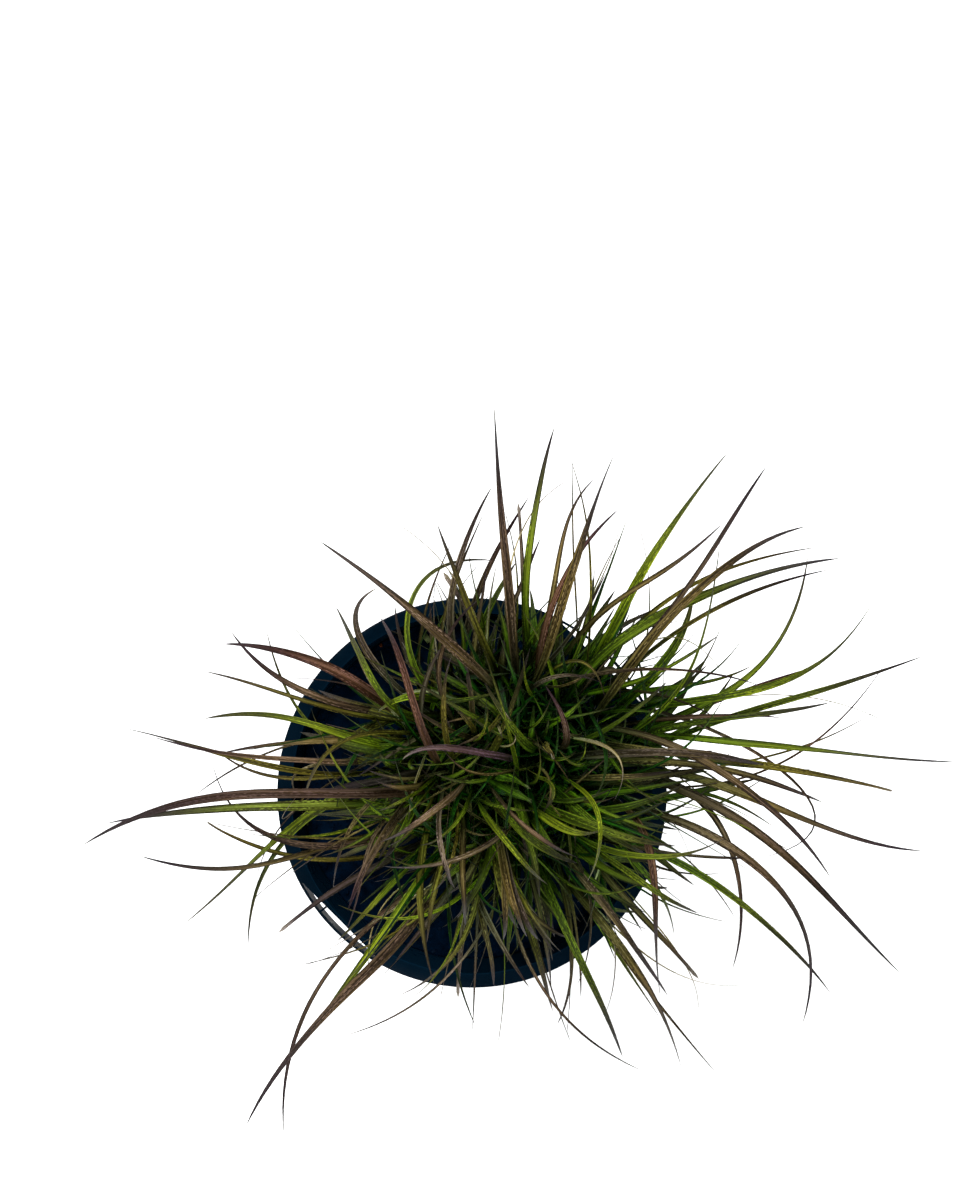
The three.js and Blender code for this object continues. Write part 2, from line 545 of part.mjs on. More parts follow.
function nearBoxes(first, second, margin) {
  for (let axis = 0; axis < 3; axis += 1) {
    const lowA = Math.min(first.a.point[axis], first.b.point[axis]) - margin;
    const highA = Math.max(first.a.point[axis], first.b.point[axis]) + margin;
    const lowB = Math.min(second.a.point[axis], second.b.point[axis]);
    const highB = Math.max(second.a.point[axis], second.b.point[axis]);
    if (lowA > highB || lowB > highA) {
      return false;
    }
  }
  return true;
}

// True where a blade's links pass over the rim and stay above the soil
function clearsPot(links) {
  return links.every((link, index) => LOOKS.every((share) => {
    const [x, y, z] = [0, 1, 2].map((axis) => between(link.a.point[axis], link.b.point[axis], share));
    const fromAxis = Math.hypot(x, y);
    if (fromAxis > RIM_BAND[1]) {
      return z > OVER_GROUND;
    }
    if (fromAxis > RIM_BAND[0]) {
      return z > OVER_RIM;
    }
    return index === 0 || z > OVER_SOIL;
  }));
}

function apart(first, second) {
  return !nearBoxes(first, second, WIDEST) || roomBetween(first, second) > CLEARANCE;
}

// Blades of one stem may only cross where the stem is crowded, and always meet at the stem
function fits(stem, links, placed, crowded) {
  return clearsPot(links) && placed.every((other) => {
    if (other.stem !== stem.index) {
      return links.every((link) => apart(link, other.link));
    }
    const past = other.link.beyondStem ?? other.link;
    return crowded || other.isStem || links.every((link) => apart(link.beyondStem ?? link, past));
  });
}

// The plan of a long blade's middle handle and of its swing, for its curve to pass over its row's
// points. A blade without a near point has no swing.
function routeOf(row, foot, tip, top) {
  const stops = [row.root, row.near ?? row.root, row.via, row.tip];
  const legs = [1, 2, 3].map((i) => Math.hypot(stops[i][0] - stops[i - 1][0], stops[i][1] - stops[i - 1][1]));
  const whole = legs[0] + legs[1] + legs[2];
  const share = ((legs[0] + legs[1]) / whole) ** VIA_POWER;
  const u = Math.min(VIA_SHARES[1], Math.max(VIA_SHARES[0], share));
  const v = (legs[0] / whole) ** VIA_POWER;
  const pull = (s) => 2 * s * (1 - s);
  const missing = (pixel, s) => {
    const height = (1 - s) * (1 - s) * foot[2] + pull(s) * top + s * s * tip[2];
    const point = underPixel(pixel, height);
    return [0, 1].map((axis) => point[axis] - (1 - s) * (1 - s) * foot[axis] - s * s * tip[axis]);
  };
  const atVia = missing(row.via, u);
  if (!row.near) {
    return { handle: atVia.map((value) => value / pull(u)), swing: [0, 0] };
  }
  const atNear = missing(row.near, v);
  const scale = pull(v) * swingShare(u) - pull(u) * swingShare(v);
  const handle = [0, 1].map((axis) => (atNear[axis] * swingShare(u) - atVia[axis] * swingShare(v)) / scale);
  const swing = [0, 1].map((axis) => (pull(v) * atVia[axis] - pull(u) * atNear[axis]) / scale);
  return { handle, swing };
}

// A long blade of the photograph, on one stem, at one attempt: the heights vary, the route stays
function longBlade(row, number, stem, attempt) {
  const slack = Math.min(1, attempt / SLACK_ATTEMPTS);
  const chance = (trait) => draw(number, BLADES_PER_STEM, attempt, trait);
  const vary = (trait) => (chance(trait) - 0.5) * 2 * slack;
  const crest = row.crest + CREST_SLACK * vary(2);
  const [goalX, goalY] = underPixel(row.near ?? row.via, crest);
  const away = Math.hypot(goalX - stem.base[0], goalY - stem.base[1]);
  const side = [(goalX - stem.base[0]) / away, (goalY - stem.base[1]) / away];
  const foot = footOn(stem, chance(1), side);
  const end = Math.min(row.end + TIP_SLACK * vary(3), crest - TIP_BELOW_CREST);
  const tip = underPixel(row.tip, end);
  const top = handleHeight(foot[2], end, crest);
  const { handle, swing } = routeOf(row, foot, tip, top);
  const roll = (chance(4) - 0.5) * LONG_ROLL;
  const twist = (chance(5) - 0.5) * LONG_TWIST;
  const curve = { foot, handle: [...handle, top], swing: [...swing, 0], tip };
  return { ...curve, width: row.width, roll, twist, stations: LONG_STATIONS };
}

// How far from the clump's middle the shorter blades may reach on one heading
function fillReach(heading) {
  const count = FILL_REACH.length;
  const step = (heading / (2 * Math.PI)) * count;
  const past = step - Math.floor(step);
  const before = ((Math.floor(step) % count) + count) % count;
  return between(FILL_REACH[before], FILL_REACH[(before + 1) % count], past);
}

// A shorter blade that fills the clump, fanned round the side of the clump that its stem is on
function fillBlade(stem, order, attempt) {
  const chance = (trait) => draw(stem.index, order, attempt, trait);
  const fan = between(FAN[0], FAN[1], stem.spread);
  const heading = stem.turn + fan * (chance(2) - 0.5) * 2;
  const [cos, sin] = [Math.cos(heading), Math.sin(heading)];
  const foot = footOn(stem, chance(1), [cos, sin]);
  const grown = between(FILL_LENGTH_SHARE[0], FILL_LENGTH_SHARE[1], stem.spread);
  const length = between(FILL_LENGTH[0], FILL_LENGTH[1], chance(3)) * grown;
  const steepest = between(STEEPEST[0], STEEPEST[1], stem.spread);
  const flattest = between(FLATTEST[0], FLATTEST[1], stem.spread);
  const rise = between(steepest, flattest, chance(4));
  const share = between(FILL_REACH_SHARE[0], FILL_REACH_SHARE[1], chance(11));
  const outside = (foot[0] - CLUMP.x) * cos + (foot[1] - CLUMP.y) * sin;
  const room = fillReach(heading) * share - outside;
  const reach = Math.max(SHORTEST_REACH, Math.min(length * Math.sqrt(1 - rise * rise), room));
  const crest = foot[2] + length * rise;
  const end = crest - length * between(DROOP[0], DROOP[1], chance(5));
  const bow = reach * BOW * (chance(6) - 0.5);
  const tip = [foot[0] + reach * cos, foot[1] + reach * sin, end];
  const early = between(EARLY[0], EARLY[1], chance(7));
  const handleX = foot[0] + reach * early * cos - bow * sin;
  const handleY = foot[1] + reach * early * sin + bow * cos;
  const handle = [handleX, handleY, handleHeight(foot[2], end, crest)];
  const width = between(FILL_WIDTH[0], FILL_WIDTH[1], chance(8));
  const roll = (chance(9) - 0.5) * FILL_ROLL;
  const twist = (chance(10) - 0.5) * FILL_TWIST;
  const curve = { foot, handle, swing: [0, 0, 0], tip };
  return { ...curve, width, roll, twist, stations: FILL_STATIONS };
}

// Every blade on every stem: the long ones first, then the ones that fill the clump
function growBlades(stems) {
  const placed = stems.map((stem) => ({ stem: stem.index, link: stemLink(stem), isStem: true }));
  const tryBlade = (stem, blade, crowded) => {
    const links = linksOf(blade);
    if (!fits(stem, links, placed, crowded)) {
      return false;
    }
    stem.blades.push(blade);
    links.forEach((link) => placed.push({ stem: stem.index, link }));
    return true;
  };
  LONG_BLADES.forEach((row, number) => {
    const [x, y] = underPixel(row.root, SOIL_LEVEL + STEM_LENGTH[1]);
    const near = stems.map((stem) => {
      const aimed = onStem(stem, FOOT_AIM);
      const away = Math.hypot(aimed[0] - x, aimed[1] - y);
      return { stem, cost: away + LOADED_STEM * stem.blades.length };
    });
    near.sort((first, second) => first.cost - second.cost);
    let done = false;
    for (let attempt = 0; attempt < ATTEMPTS && !done; attempt += 1) {
      const { stem } = near[attempt % NEAREST_STEMS];
      done = tryBlade(stem, longBlade(row, number, stem, attempt), attempt > CROWDED_ATTEMPT);
    }
  });
  for (let order = 0; order < BLADES_PER_STEM; order += 1) {
    for (const stem of stems) {
      let done = stem.blades.length >= BLADES_PER_STEM;
      for (let attempt = 0; attempt < FILL_ATTEMPTS && !done; attempt += 1) {
        done = tryBlade(stem, fillBlade(stem, order, attempt), attempt > CROWDED_ATTEMPT);
      }
    }
  }
}

// A leaf blade: three-cornered sections with a flat upper face and a keel, tapering to a point.
// Each side is split into triangles along the diagonal that keeps it bulging outwards.
function bladeGeometry(blade) {
  const spots = [];
  blade.stations.slice(0, -1).forEach((s) => {
    const middle = onCurve(blade, s);
    const half = widthAt(blade, s) / 2;
    const { across, face } = framesAt(blade, s);
    spots.push(middle.map((value, axis) => value + across[axis] * half));
    spots.push(middle.map((value, axis) => value - face[axis] * KEEL));
    spots.push(middle.map((value, axis) => value - across[axis] * half));
  });
  spots.push(blade.tip);
  const corners = [0, 2, 1];
  const last = blade.stations.length - 2;
  for (let ring = 0; ring < last; ring += 1) {
    for (let side = 0; side < 3; side += 1) {
      const [a, b] = [ring * 3 + side, ring * 3 + ((side + 1) % 3)];
      corners.push(...splitQuad(spots, a, b, b + 3, a + 3));
    }
  }
  for (let side = 0; side < 3; side += 1) {
    corners.push(last * 3 + side, last * 3 + ((side + 1) % 3), spots.length - 1);
  }
  const geometry = new THREE.BufferGeometry();
  geometry.setAttribute("position", new THREE.Float32BufferAttribute(spots.flat(), 3));
  return geometry.setIndex(corners);
}

function cross(a, b) {
  return [a[1] * b[2] - a[2] * b[1], a[2] * b[0] - a[0] * b[2], a[0] * b[1] - a[1] * b[0]];
}

function splitQuad(spots, a, b, c, d) {
  const normal = cross(minus(spots[b], spots[a]), minus(spots[c], spots[a]));
  const folded = dot(normal, minus(spots[d], spots[a]));
  return folded <= 0 ? [a, b, c, a, c, d] : [a, b, d, b, c, d];
}

// One leafy stem: its blades' roots are sunk in it, and all are joined to it
function makeLeafyStem(stem) {
  const length = stem.length + HOLE_DEPTH - GAP;
  const cane = new THREE.CylinderGeometry(STEM_TOP_RADIUS, STEM_RADIUS, length, STEM_SIDES);
  placeAlong(cane, stem.base, stem.aim, stem.length - length / 2);
  const solids = [solidOf(cane), ...stem.blades.map((blade) => solidOf(bladeGeometry(blade)))];
  const joined = wasm.Manifold.union(solids);
  const parts = joined.decompose();
  parts.sort((first, second) => second.volume() - first.volume());
  const name = `leafy_stem_${String(stem.index + 1).padStart(2, "0")}`;
  const color = LEAF_COLOURS[stem.index % LEAF_COLOURS.length];
  return pieceOf(name, geometryOf(parts[0]), { color, roughness: LEAF_ROUGHNESS, metalness: 0 });
}

const stems = Array.from({ length: STEM_COUNT }, (_, index) => makeStem(index));
growBlades(stems);

const plant = new THREE.Group();
plant.rotation.z = GRIPS_TO_PHOTOGRAPH;
plant.add(makeSoil(stems));
for (const stem of stems) {
  plant.add(makeLeafyStem(stem));
}

const pottedGrass = new THREE.Group();
pottedGrass.add(makePot(), plant);

export default pottedGrass;
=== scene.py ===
"""Potted purple petite fountain grass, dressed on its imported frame.

The leaf blades grow by the same rule as in the solids, so each stands where its solid stands, and
then get folded, ribbed skins. Blades that the solids have no room for, a turned pot and crumbly
potting mix are added.
The plant is worked out in millimetres in the plan of the photograph, x to its right and y to its
top, and is then turned into the row's frame, whose X axis runs through the pot's finger grips.
"""
import math
from functools import partial
from typing import NamedTuple

import bmesh
import bpy
import numpy as np
from mathutils import Matrix, Vector


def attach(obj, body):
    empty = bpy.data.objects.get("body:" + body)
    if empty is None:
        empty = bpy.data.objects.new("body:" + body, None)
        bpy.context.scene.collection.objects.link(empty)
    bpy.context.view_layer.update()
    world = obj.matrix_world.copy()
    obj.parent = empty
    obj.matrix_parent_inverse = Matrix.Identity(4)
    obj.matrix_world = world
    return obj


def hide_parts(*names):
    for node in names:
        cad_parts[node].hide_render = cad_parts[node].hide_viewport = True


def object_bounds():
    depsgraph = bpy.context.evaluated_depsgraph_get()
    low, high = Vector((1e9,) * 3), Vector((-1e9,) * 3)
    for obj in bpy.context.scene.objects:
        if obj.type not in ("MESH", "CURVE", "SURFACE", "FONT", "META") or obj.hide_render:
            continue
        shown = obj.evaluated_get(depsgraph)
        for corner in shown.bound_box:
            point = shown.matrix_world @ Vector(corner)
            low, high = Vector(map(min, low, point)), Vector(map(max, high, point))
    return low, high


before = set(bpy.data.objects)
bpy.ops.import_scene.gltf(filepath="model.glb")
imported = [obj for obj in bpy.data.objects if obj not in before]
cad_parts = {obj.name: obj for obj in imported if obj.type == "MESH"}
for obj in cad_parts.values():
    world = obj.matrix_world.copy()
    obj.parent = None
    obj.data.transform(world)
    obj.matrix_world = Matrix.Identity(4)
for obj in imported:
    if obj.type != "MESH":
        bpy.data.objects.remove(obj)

bl_info = {
    "name": "Potted Fountain Grass",
    "version": (1, 0, 0),
    "blender": (4, 5, 0),
    "location": "3D View > Sidebar > Grass",
    "description": "Makes a pot of purple fountain grass, piece by piece, round its packed frame",
    "category": "Add Mesh",
}

CAD_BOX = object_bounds()
BODY = "root"
MM = 0.001

# Pot, in millimetres
POT_HEIGHT = 215
RIM_RADIUS = 120
BASE_RADIUS = 94
FLOOR = 3
WALL = 1.6
TAPER = 0.081
STACKING_HEIGHT = 150
STACKING_STEP = 1.2
EDGE = 1
WEB = 1.8
SKIRT = 1.4
SKIRT_DROP = 14
GRIP_CHORD = 112.9
GRIP_INNER_RADIUS = 118.4
GRIP_RIB = 1.2
GRIP_RIB_ANGLE = 7
GRIP_BLOCK_HEIGHT = WEB * 4
GRIP_RIB_HEIGHT = WEB * 6
DRAIN_COUNT = 6
DRAIN_RADIUS = 7
DRAIN_CIRCLE = 70

# Soil
SOIL_LEVEL = 190
CROWN_RISE = 7
CROWN_REACH = 80
LUMPS = {"rise": 1.3, "span_x": 9, "span_y": 11, "start_x": 1.3, "start_y": -0.4}
CRUMBS = {"rise": 0.8, "span": 5.3}
GAP = 0.3
HOLE_DEPTH = 12

# Clump of stems
CLUMP = np.array([22.6, 24.4])
CLUMP_RADIUS = 46
STEM_COUNT = 44
STEM_RADIUS = 2.4
STEM_TOP_RADIUS = 1.5
STEM_LENGTH = (30, 62)
STEM_LEAN = math.radians(24)
STEM_SCATTER = 0.35
GOLDEN_ANGLE = math.pi * (3 - math.sqrt(5))
GRIPS_TO_PHOTOGRAPH = -math.pi / 4

# Leaf blades: where their feet are, how they widen and taper, and how they turn
BLADES_PER_STEM = 7
LONG_STATIONS = (0, 0.2, 0.42, 0.64, 0.84, 1)
FILL_STATIONS = (0, 0.3, 0.64, 1)
KEEL = 0.9
FOOT_SHARES = (0.12, 0.96)
FOOT_SCATTER = 0.8
ROOT_DEPTH = 1
ROOT_SHARE = 0.22
FLARE = 2.6
TIP_SHARE = 0.55
TIP_POWER = 0.62
LONG_ROLL = 0.7
LONG_TWIST = 1.3
FILL_ROLL = 0.8
FILL_TWIST = 1.4

# Blades that fill the clump
FILL_LENGTH = (70, 165)
FILL_WIDTH = (3.6, 6.6)
FILL_LENGTH_SHARE = (0.85, 1.1)
STEEPEST = (0.97, 0.88)
FLATTEST = (0.75, 0.3)
FAN = (math.pi, 1.1)
DROOP = (0.02, 0.3)
EARLY = (0.25, 0.45)
BOW = 0.36
# How far from the clump's middle their tips may reach, for headings that go round in equal steps
# from the photograph's right towards its top, and the shares of it that they take
FILL_REACH = (152, 146, 128, 108, 100, 84, 74, 76, 92, 98, 100, 112, 116, 118, 120, 134)
FILL_REACH_SHARE = (0.66, 1.06)
SHORTEST_REACH = 8

# Room for the blades
ATTEMPTS = 360
FILL_ATTEMPTS = 120
CROWDED_ATTEMPT = 90
SLACK_ATTEMPTS = 24
CREST_SLACK = 38
TIP_SLACK = 30
TIP_BELOW_CREST = 2
VIA_POWER = 0.85
VIA_SHARES = (0.3, 0.8)
SWING_SCALE = 6.75
NEAREST_STEMS = 5
LOADED_STEM = 7
FOOT_AIM = 0.7
CLEAR_OF_STEM = 0.15
CLEARANCE = 0.3
WIDEST = 9
RIM_BAND = (103, 127)
OVER_RIM = 222
OVER_SOIL = 204
OVER_GROUND = 20
LOOKS = np.array([0.25, 0.5, 0.75, 1])
ALMOST_PARALLEL = 1e-9
ALMOST_NONE = 1e-6

# The photograph looks straight down on the pot, from this place in its own plan. The rim's circle
# is 195 pixels in radius in its frame of 960 by 1200.
EYE = np.array([4.9, 118.8, 1065])
FRAME_SIZE = (960, 1200)
FRAME_CENTRE = (480, 600)
RIM_PIXELS = 195


class LongBlade(NamedTuple):
    """A blade that stands out in the photograph. root, via and tip are pixels in its frame: where
    the blade leaves the clump, a point on its way and its tip. Some have a point nearer the clump
    too. crest and end are the heights of its highest point and its tip, and width is its full
    width, all in millimetres."""

    root: tuple
    via: tuple
    tip: tuple
    crest: float
    end: float
    width: float
    tint: str
    ending: str = "whip"
    near: tuple = None


LONG_BLADES = [
    # Left side
    LongBlade((486, 798), (190, 804), (80, 847), 355, 265, 5.4, "rust", near=(415, 791)),
    LongBlade((450, 735), (300, 656), (222, 644), 325, 285, 7.2, "wine", near=(381, 699)),
    LongBlade((460, 752), (310, 724), (203, 719), 310, 270, 7, "lime", near=(368, 741)),
    LongBlade(
        (440, 808), (250, 808), (104, 824), 300, 240, 4.4, "turning", "dark", near=(350, 806)
    ),
    LongBlade((430, 815), (230, 868), (137, 855), 290, 215, 5.2, "umber", "dark", near=(338, 847)),
    LongBlade((400, 780), (222, 755), (118, 727), 285, 230, 4, "olive", "dark", near=(320, 774)),
    LongBlade((410, 775), (240, 755), (150, 736), 300, 255, 3.4, "plum"),
    LongBlade((450, 735), (285, 693), (203, 671), 290, 240, 4.2, "olive", near=(358, 715)),
    LongBlade((440, 745), (290, 686), (230, 630), 290, 225, 5.2, "plum", near=(352, 707)),
    LongBlade((445, 765), (300, 712), (266, 628), 260, 235, 3.4, "green"),
    LongBlade((450, 750), (300, 741), (218, 754), 295, 235, 4.8, "umber"),
    LongBlade((440, 745), (280, 747), (193, 797), 280, 215, 2.8, "umber"),
    LongBlade((450, 780), (262, 774), (214, 748), 270, 225, 3.8, "olive", near=(350, 775)),
    LongBlade((450, 820), (260, 831), (211, 757), 285, 220, 4.6, "plum", near=(326, 847)),
    LongBlade((440, 830), (250, 845), (192, 812), 265, 225, 3.8, "olive", "curl"),
    LongBlade((440, 800), (240, 874), (183, 925), 280, 205, 4.2, "green", near=(300, 822)),
    LongBlade((450, 815), (258, 890), (248, 950), 275, 200, 4.2, "green"),
    LongBlade((455, 815), (340, 888), (278, 933), 280, 240, 5.6, "dusk", "blunt"),
    LongBlade((440, 760), (325, 757), (301, 820), 300, 270, 3, "olive", "curl"),
    LongBlade((450, 790), (352, 826), (333, 896), 300, 255, 3, "umber"),
    # Upper left
    LongBlade((530, 724), (407, 606), (318, 540), 385, 330, 6.6, "striped", near=(474, 668)),
    LongBlade((450, 735), (355, 617), (380, 587), 265, 245, 6.2, "smoke", "dry", near=(376, 664)),
    LongBlade((455, 735), (355, 644), (335, 605), 290, 255, 5.2, "green", near=(376, 687)),
    LongBlade((450, 795), (412, 700), (380, 617), 375, 335, 5.4, "wine", near=(435, 758)),
    LongBlade((460, 730), (408, 660), (395, 605), 270, 245, 4.4, "smoke"),
    LongBlade((480, 720), (415, 592), (497, 561), 300, 290, 4.8, "green", near=(410, 643)),
    LongBlade((520, 710), (462, 592), (437, 523), 330, 280, 4.8, "olive"),
    LongBlade((490, 720), (470, 615), (443, 572), 300, 275, 6.6, "smoke", "blunt"),
    LongBlade((470, 720), (447, 640), (455, 585), 280, 255, 5.4, "smoke"),
    LongBlade((440, 750), (440, 665), (478, 600), 330, 310, 3.4, "plum"),
    LongBlade((475, 725), (430, 690), (382, 712), 290, 275, 3.8, "straw", "blunt"),
    LongBlade((445, 790), (443, 725), (452, 655), 350, 345, 3.6, "olive"),
    LongBlade((445, 740), (420, 672), (402, 642), 285, 270, 3.2, "olive", "dry"),
    # Top
    LongBlade((518, 725), (503, 545), (494, 403), 345, 290, 5.8, "plum", "dark"),
    LongBlade((480, 715), (466, 540), (493, 485), 310, 265, 4.8, "smoke"),
    LongBlade((460, 715), (480, 590), (530, 495), 320, 285, 4.6, "plum"),
    LongBlade((520, 720), (541, 478), (555, 425), 340, 300, 5, "green", "dark"),
    LongBlade((515, 700), (523, 560), (518, 502), 310, 290, 4.6, "smoke", "blunt"),
    LongBlade((518, 724), (582, 546), (616, 450), 365, 310, 5.6, "umber", "dark", near=(544, 654)),
    LongBlade((530, 700), (570, 518), (597, 477), 320, 280, 3.8, "umber", near=(555, 575)),
    LongBlade((525, 710), (570, 565), (620, 508), 330, 290, 4.2, "wine"),
    LongBlade((495, 700), (515, 600), (541, 537), 330, 300, 4.2, "plum"),
    LongBlade((560, 710), (588, 612), (593, 578), 290, 285, 4.2, "olive", "blunt"),
    # Upper right
    LongBlade((575, 710), (672, 528), (730, 450), 340, 300, 5.8, "lime"),
    LongBlade((570, 735), (713, 547), (768, 464), 340, 285, 5.8, "plum", near=(655, 632)),
    LongBlade((575, 745), (743, 552), (808, 526), 335, 280, 5.8, "umber", near=(665, 625)),
    LongBlade((580, 760), (735, 581), (842, 558), 300, 260, 7, "green", "dark"),
    LongBlade((580, 745), (748, 563), (820, 547), 305, 270, 3.2, "olive"),
    LongBlade((575, 740), (720, 606), (832, 569), 300, 255, 4, "olive", "dark"),
    LongBlade((600, 750), (775, 645), (808, 553), 300, 235, 4.8, "green", near=(700, 708)),
    LongBlade((600, 745), (808, 671), (874, 600), 310, 240, 5, "lime", near=(706, 700)),
    LongBlade((600, 755), (720, 700), (818, 666), 290, 260, 3.8, "wine"),
    LongBlade((600, 765), (703, 638), (720, 540), 330, 290, 3.2, "lime", near=(679, 690)),
    LongBlade((570, 715), (690, 655), (719, 635), 310, 285, 4, "lime"),
    LongBlade((585, 735), (680, 686), (753, 665), 290, 265, 3.8, "lime", near=(655, 689)),
    LongBlade((560, 680), (660, 572), (724, 522), 330, 290, 4, "umber", near=(620, 600)),
    LongBlade((550, 700), (600, 640), (662, 607), 285, 265, 6, "smoke"),
    LongBlade((545, 690), (680, 670), (760, 686), 350, 320, 2.4, "plum"),
    LongBlade((600, 735), (676, 645), (693, 585), 305, 285, 7, "lime", near=(640, 688)),
    # Right side
    LongBlade((610, 760), (847, 683), (926, 655), 300, 240, 4.8, "green", "dark", near=(720, 719)),
    LongBlade((605, 765), (740, 715), (832, 702), 285, 250, 6, "green", near=(710, 718)),
    LongBlade((590, 740), (690, 716), (783, 718), 310, 280, 3.4, "wine"),
    LongBlade((600, 735), (830, 752), (960, 762), 320, 250, 4.6, "green", "dark", near=(727, 742)),
    LongBlade((590, 765), (835, 778), (898, 791), 315, 250, 5.2, "olive", "curl"),
    LongBlade((580, 755), (730, 772), (824, 803), 300, 260, 5.6, "umber"),
    LongBlade((570, 745), (760, 797), (832, 880), 345, 270, 5, "plum"),
    LongBlade((595, 770), (810, 823), (925, 851), 300, 235, 5.6, "umber", "dark", near=(722, 787)),
    LongBlade((600, 780), (715, 797), (775, 828), 280, 250, 3.2, "green"),
    LongBlade((620, 765), (815, 815), (755, 859), 300, 240, 2.4, "plum", near=(790, 777)),
    LongBlade((550, 750), (680, 753), (765, 765), 335, 290, 6.8, "smoke"),
    LongBlade((560, 785), (640, 778), (720, 765), 310, 290, 5.4, "umber"),
    LongBlade((545, 815), (610, 793), (690, 762), 325, 300, 4.6, "umber"),
    # Lower right
    LongBlade((590, 775), (790, 862), (903, 976), 320, 230, 5.8, "plum", "dark", near=(712, 803)),
    LongBlade((590, 795), (804, 928), (802, 1026), 320, 235, 5.8, "plum", "dark", near=(722, 843)),
    LongBlade((590, 780), (736, 865), (732, 970), 330, 250, 4.2, "plum", near=(710, 811)),
    LongBlade((590, 825), (760, 920), (832, 995), 300, 230, 4.6, "green", "dark"),
    LongBlade((570, 820), (640, 915), (699, 979), 300, 250, 5, "umber", "blunt"),
    LongBlade((570, 800), (657, 930), (661, 1000), 335, 250, 5, "wine", "dark", near=(650, 852)),
    LongBlade((585, 830), (650, 880), (674, 935), 270, 240, 3.8, "green"),
    LongBlade((550, 825), (602, 902), (668, 996), 325, 260, 5, "plum"),
    LongBlade((545, 840), (645, 983), (682, 1070), 300, 225, 5.6, "umber", near=(612, 934)),
    LongBlade((555, 850), (660, 1005), (718, 1075), 270, 210, 2.6, "umber"),
    LongBlade((560, 840), (615, 950), (660, 1018), 270, 225, 3.2, "green"),
    # Bottom
    LongBlade((530, 835), (575, 945), (623, 1058), 320, 245, 5.2, "green", "dark"),
    LongBlade((525, 840), (553, 1005), (645, 1072), 280, 215, 2.6, "plum"),
    LongBlade((520, 830), (532, 940), (553, 1012), 290, 225, 5.6, "olive"),
    LongBlade((530, 830), (545, 930), (551, 992), 280, 235, 4.6, "umber"),
    LongBlade((540, 830), (572, 930), (557, 1025), 300, 225, 4.6, "umber"),
    LongBlade((495, 850), (476, 975), (472, 1034), 270, 225, 2.2, "smoke"),
    LongBlade((475, 830), (462, 930), (458, 998), 285, 240, 5, "smoke", "blunt"),
    # Lower left
    LongBlade((470, 830), (335, 1007), (245, 1128), 310, 225, 7, "plum", near=(391, 948)),
    LongBlade((465, 825), (318, 990), (284, 1138), 290, 205, 4.6, "plum", near=(372, 925)),
    LongBlade((470, 815), (380, 938), (306, 1038), 320, 260, 5.6, "lime"),
    LongBlade((500, 840), (450, 972), (340, 1037), 280, 215, 2.6, "smoke"),
    LongBlade((480, 835), (452, 955), (395, 997), 265, 225, 3.8, "olive"),
    LongBlade((480, 825), (440, 905), (396, 960), 265, 240, 6.6, "smoke"),
    LongBlade((460, 810), (385, 893), (335, 943), 275, 245, 5, "lime"),
    LongBlade((450, 805), (360, 885), (345, 932), 310, 290, 3.2, "plum", near=(368, 850)),
    # Over the middle
    LongBlade((545, 768), (468, 750), (402, 760), 385, 365, 5, "mauve", "dry", near=(515, 757)),
    LongBlade((538, 768), (566, 741), (545, 685), 372, 360, 4.4, "rust"),
    LongBlade((553, 764), (585, 795), (587, 882), 385, 330, 3, "lime", "dry"),
    LongBlade((525, 775), (552, 787), (542, 812), 380, 360, 2.6, "green"),
    LongBlade((494, 793), (463, 858), (383, 866), 375, 320, 3.4, "smoke", near=(509, 822)),
    LongBlade((488, 768), (447, 798), (380, 842), 385, 345, 4.6, "striped"),
    LongBlade((460, 800), (500, 832), (548, 885), 380, 335, 3.8, "lime"),
    LongBlade((449, 800), (441, 835), (455, 888), 375, 330, 3.6, "smoke"),
    LongBlade((570, 725), (604, 745), (613, 802), 385, 355, 2.2, "straw"),
]

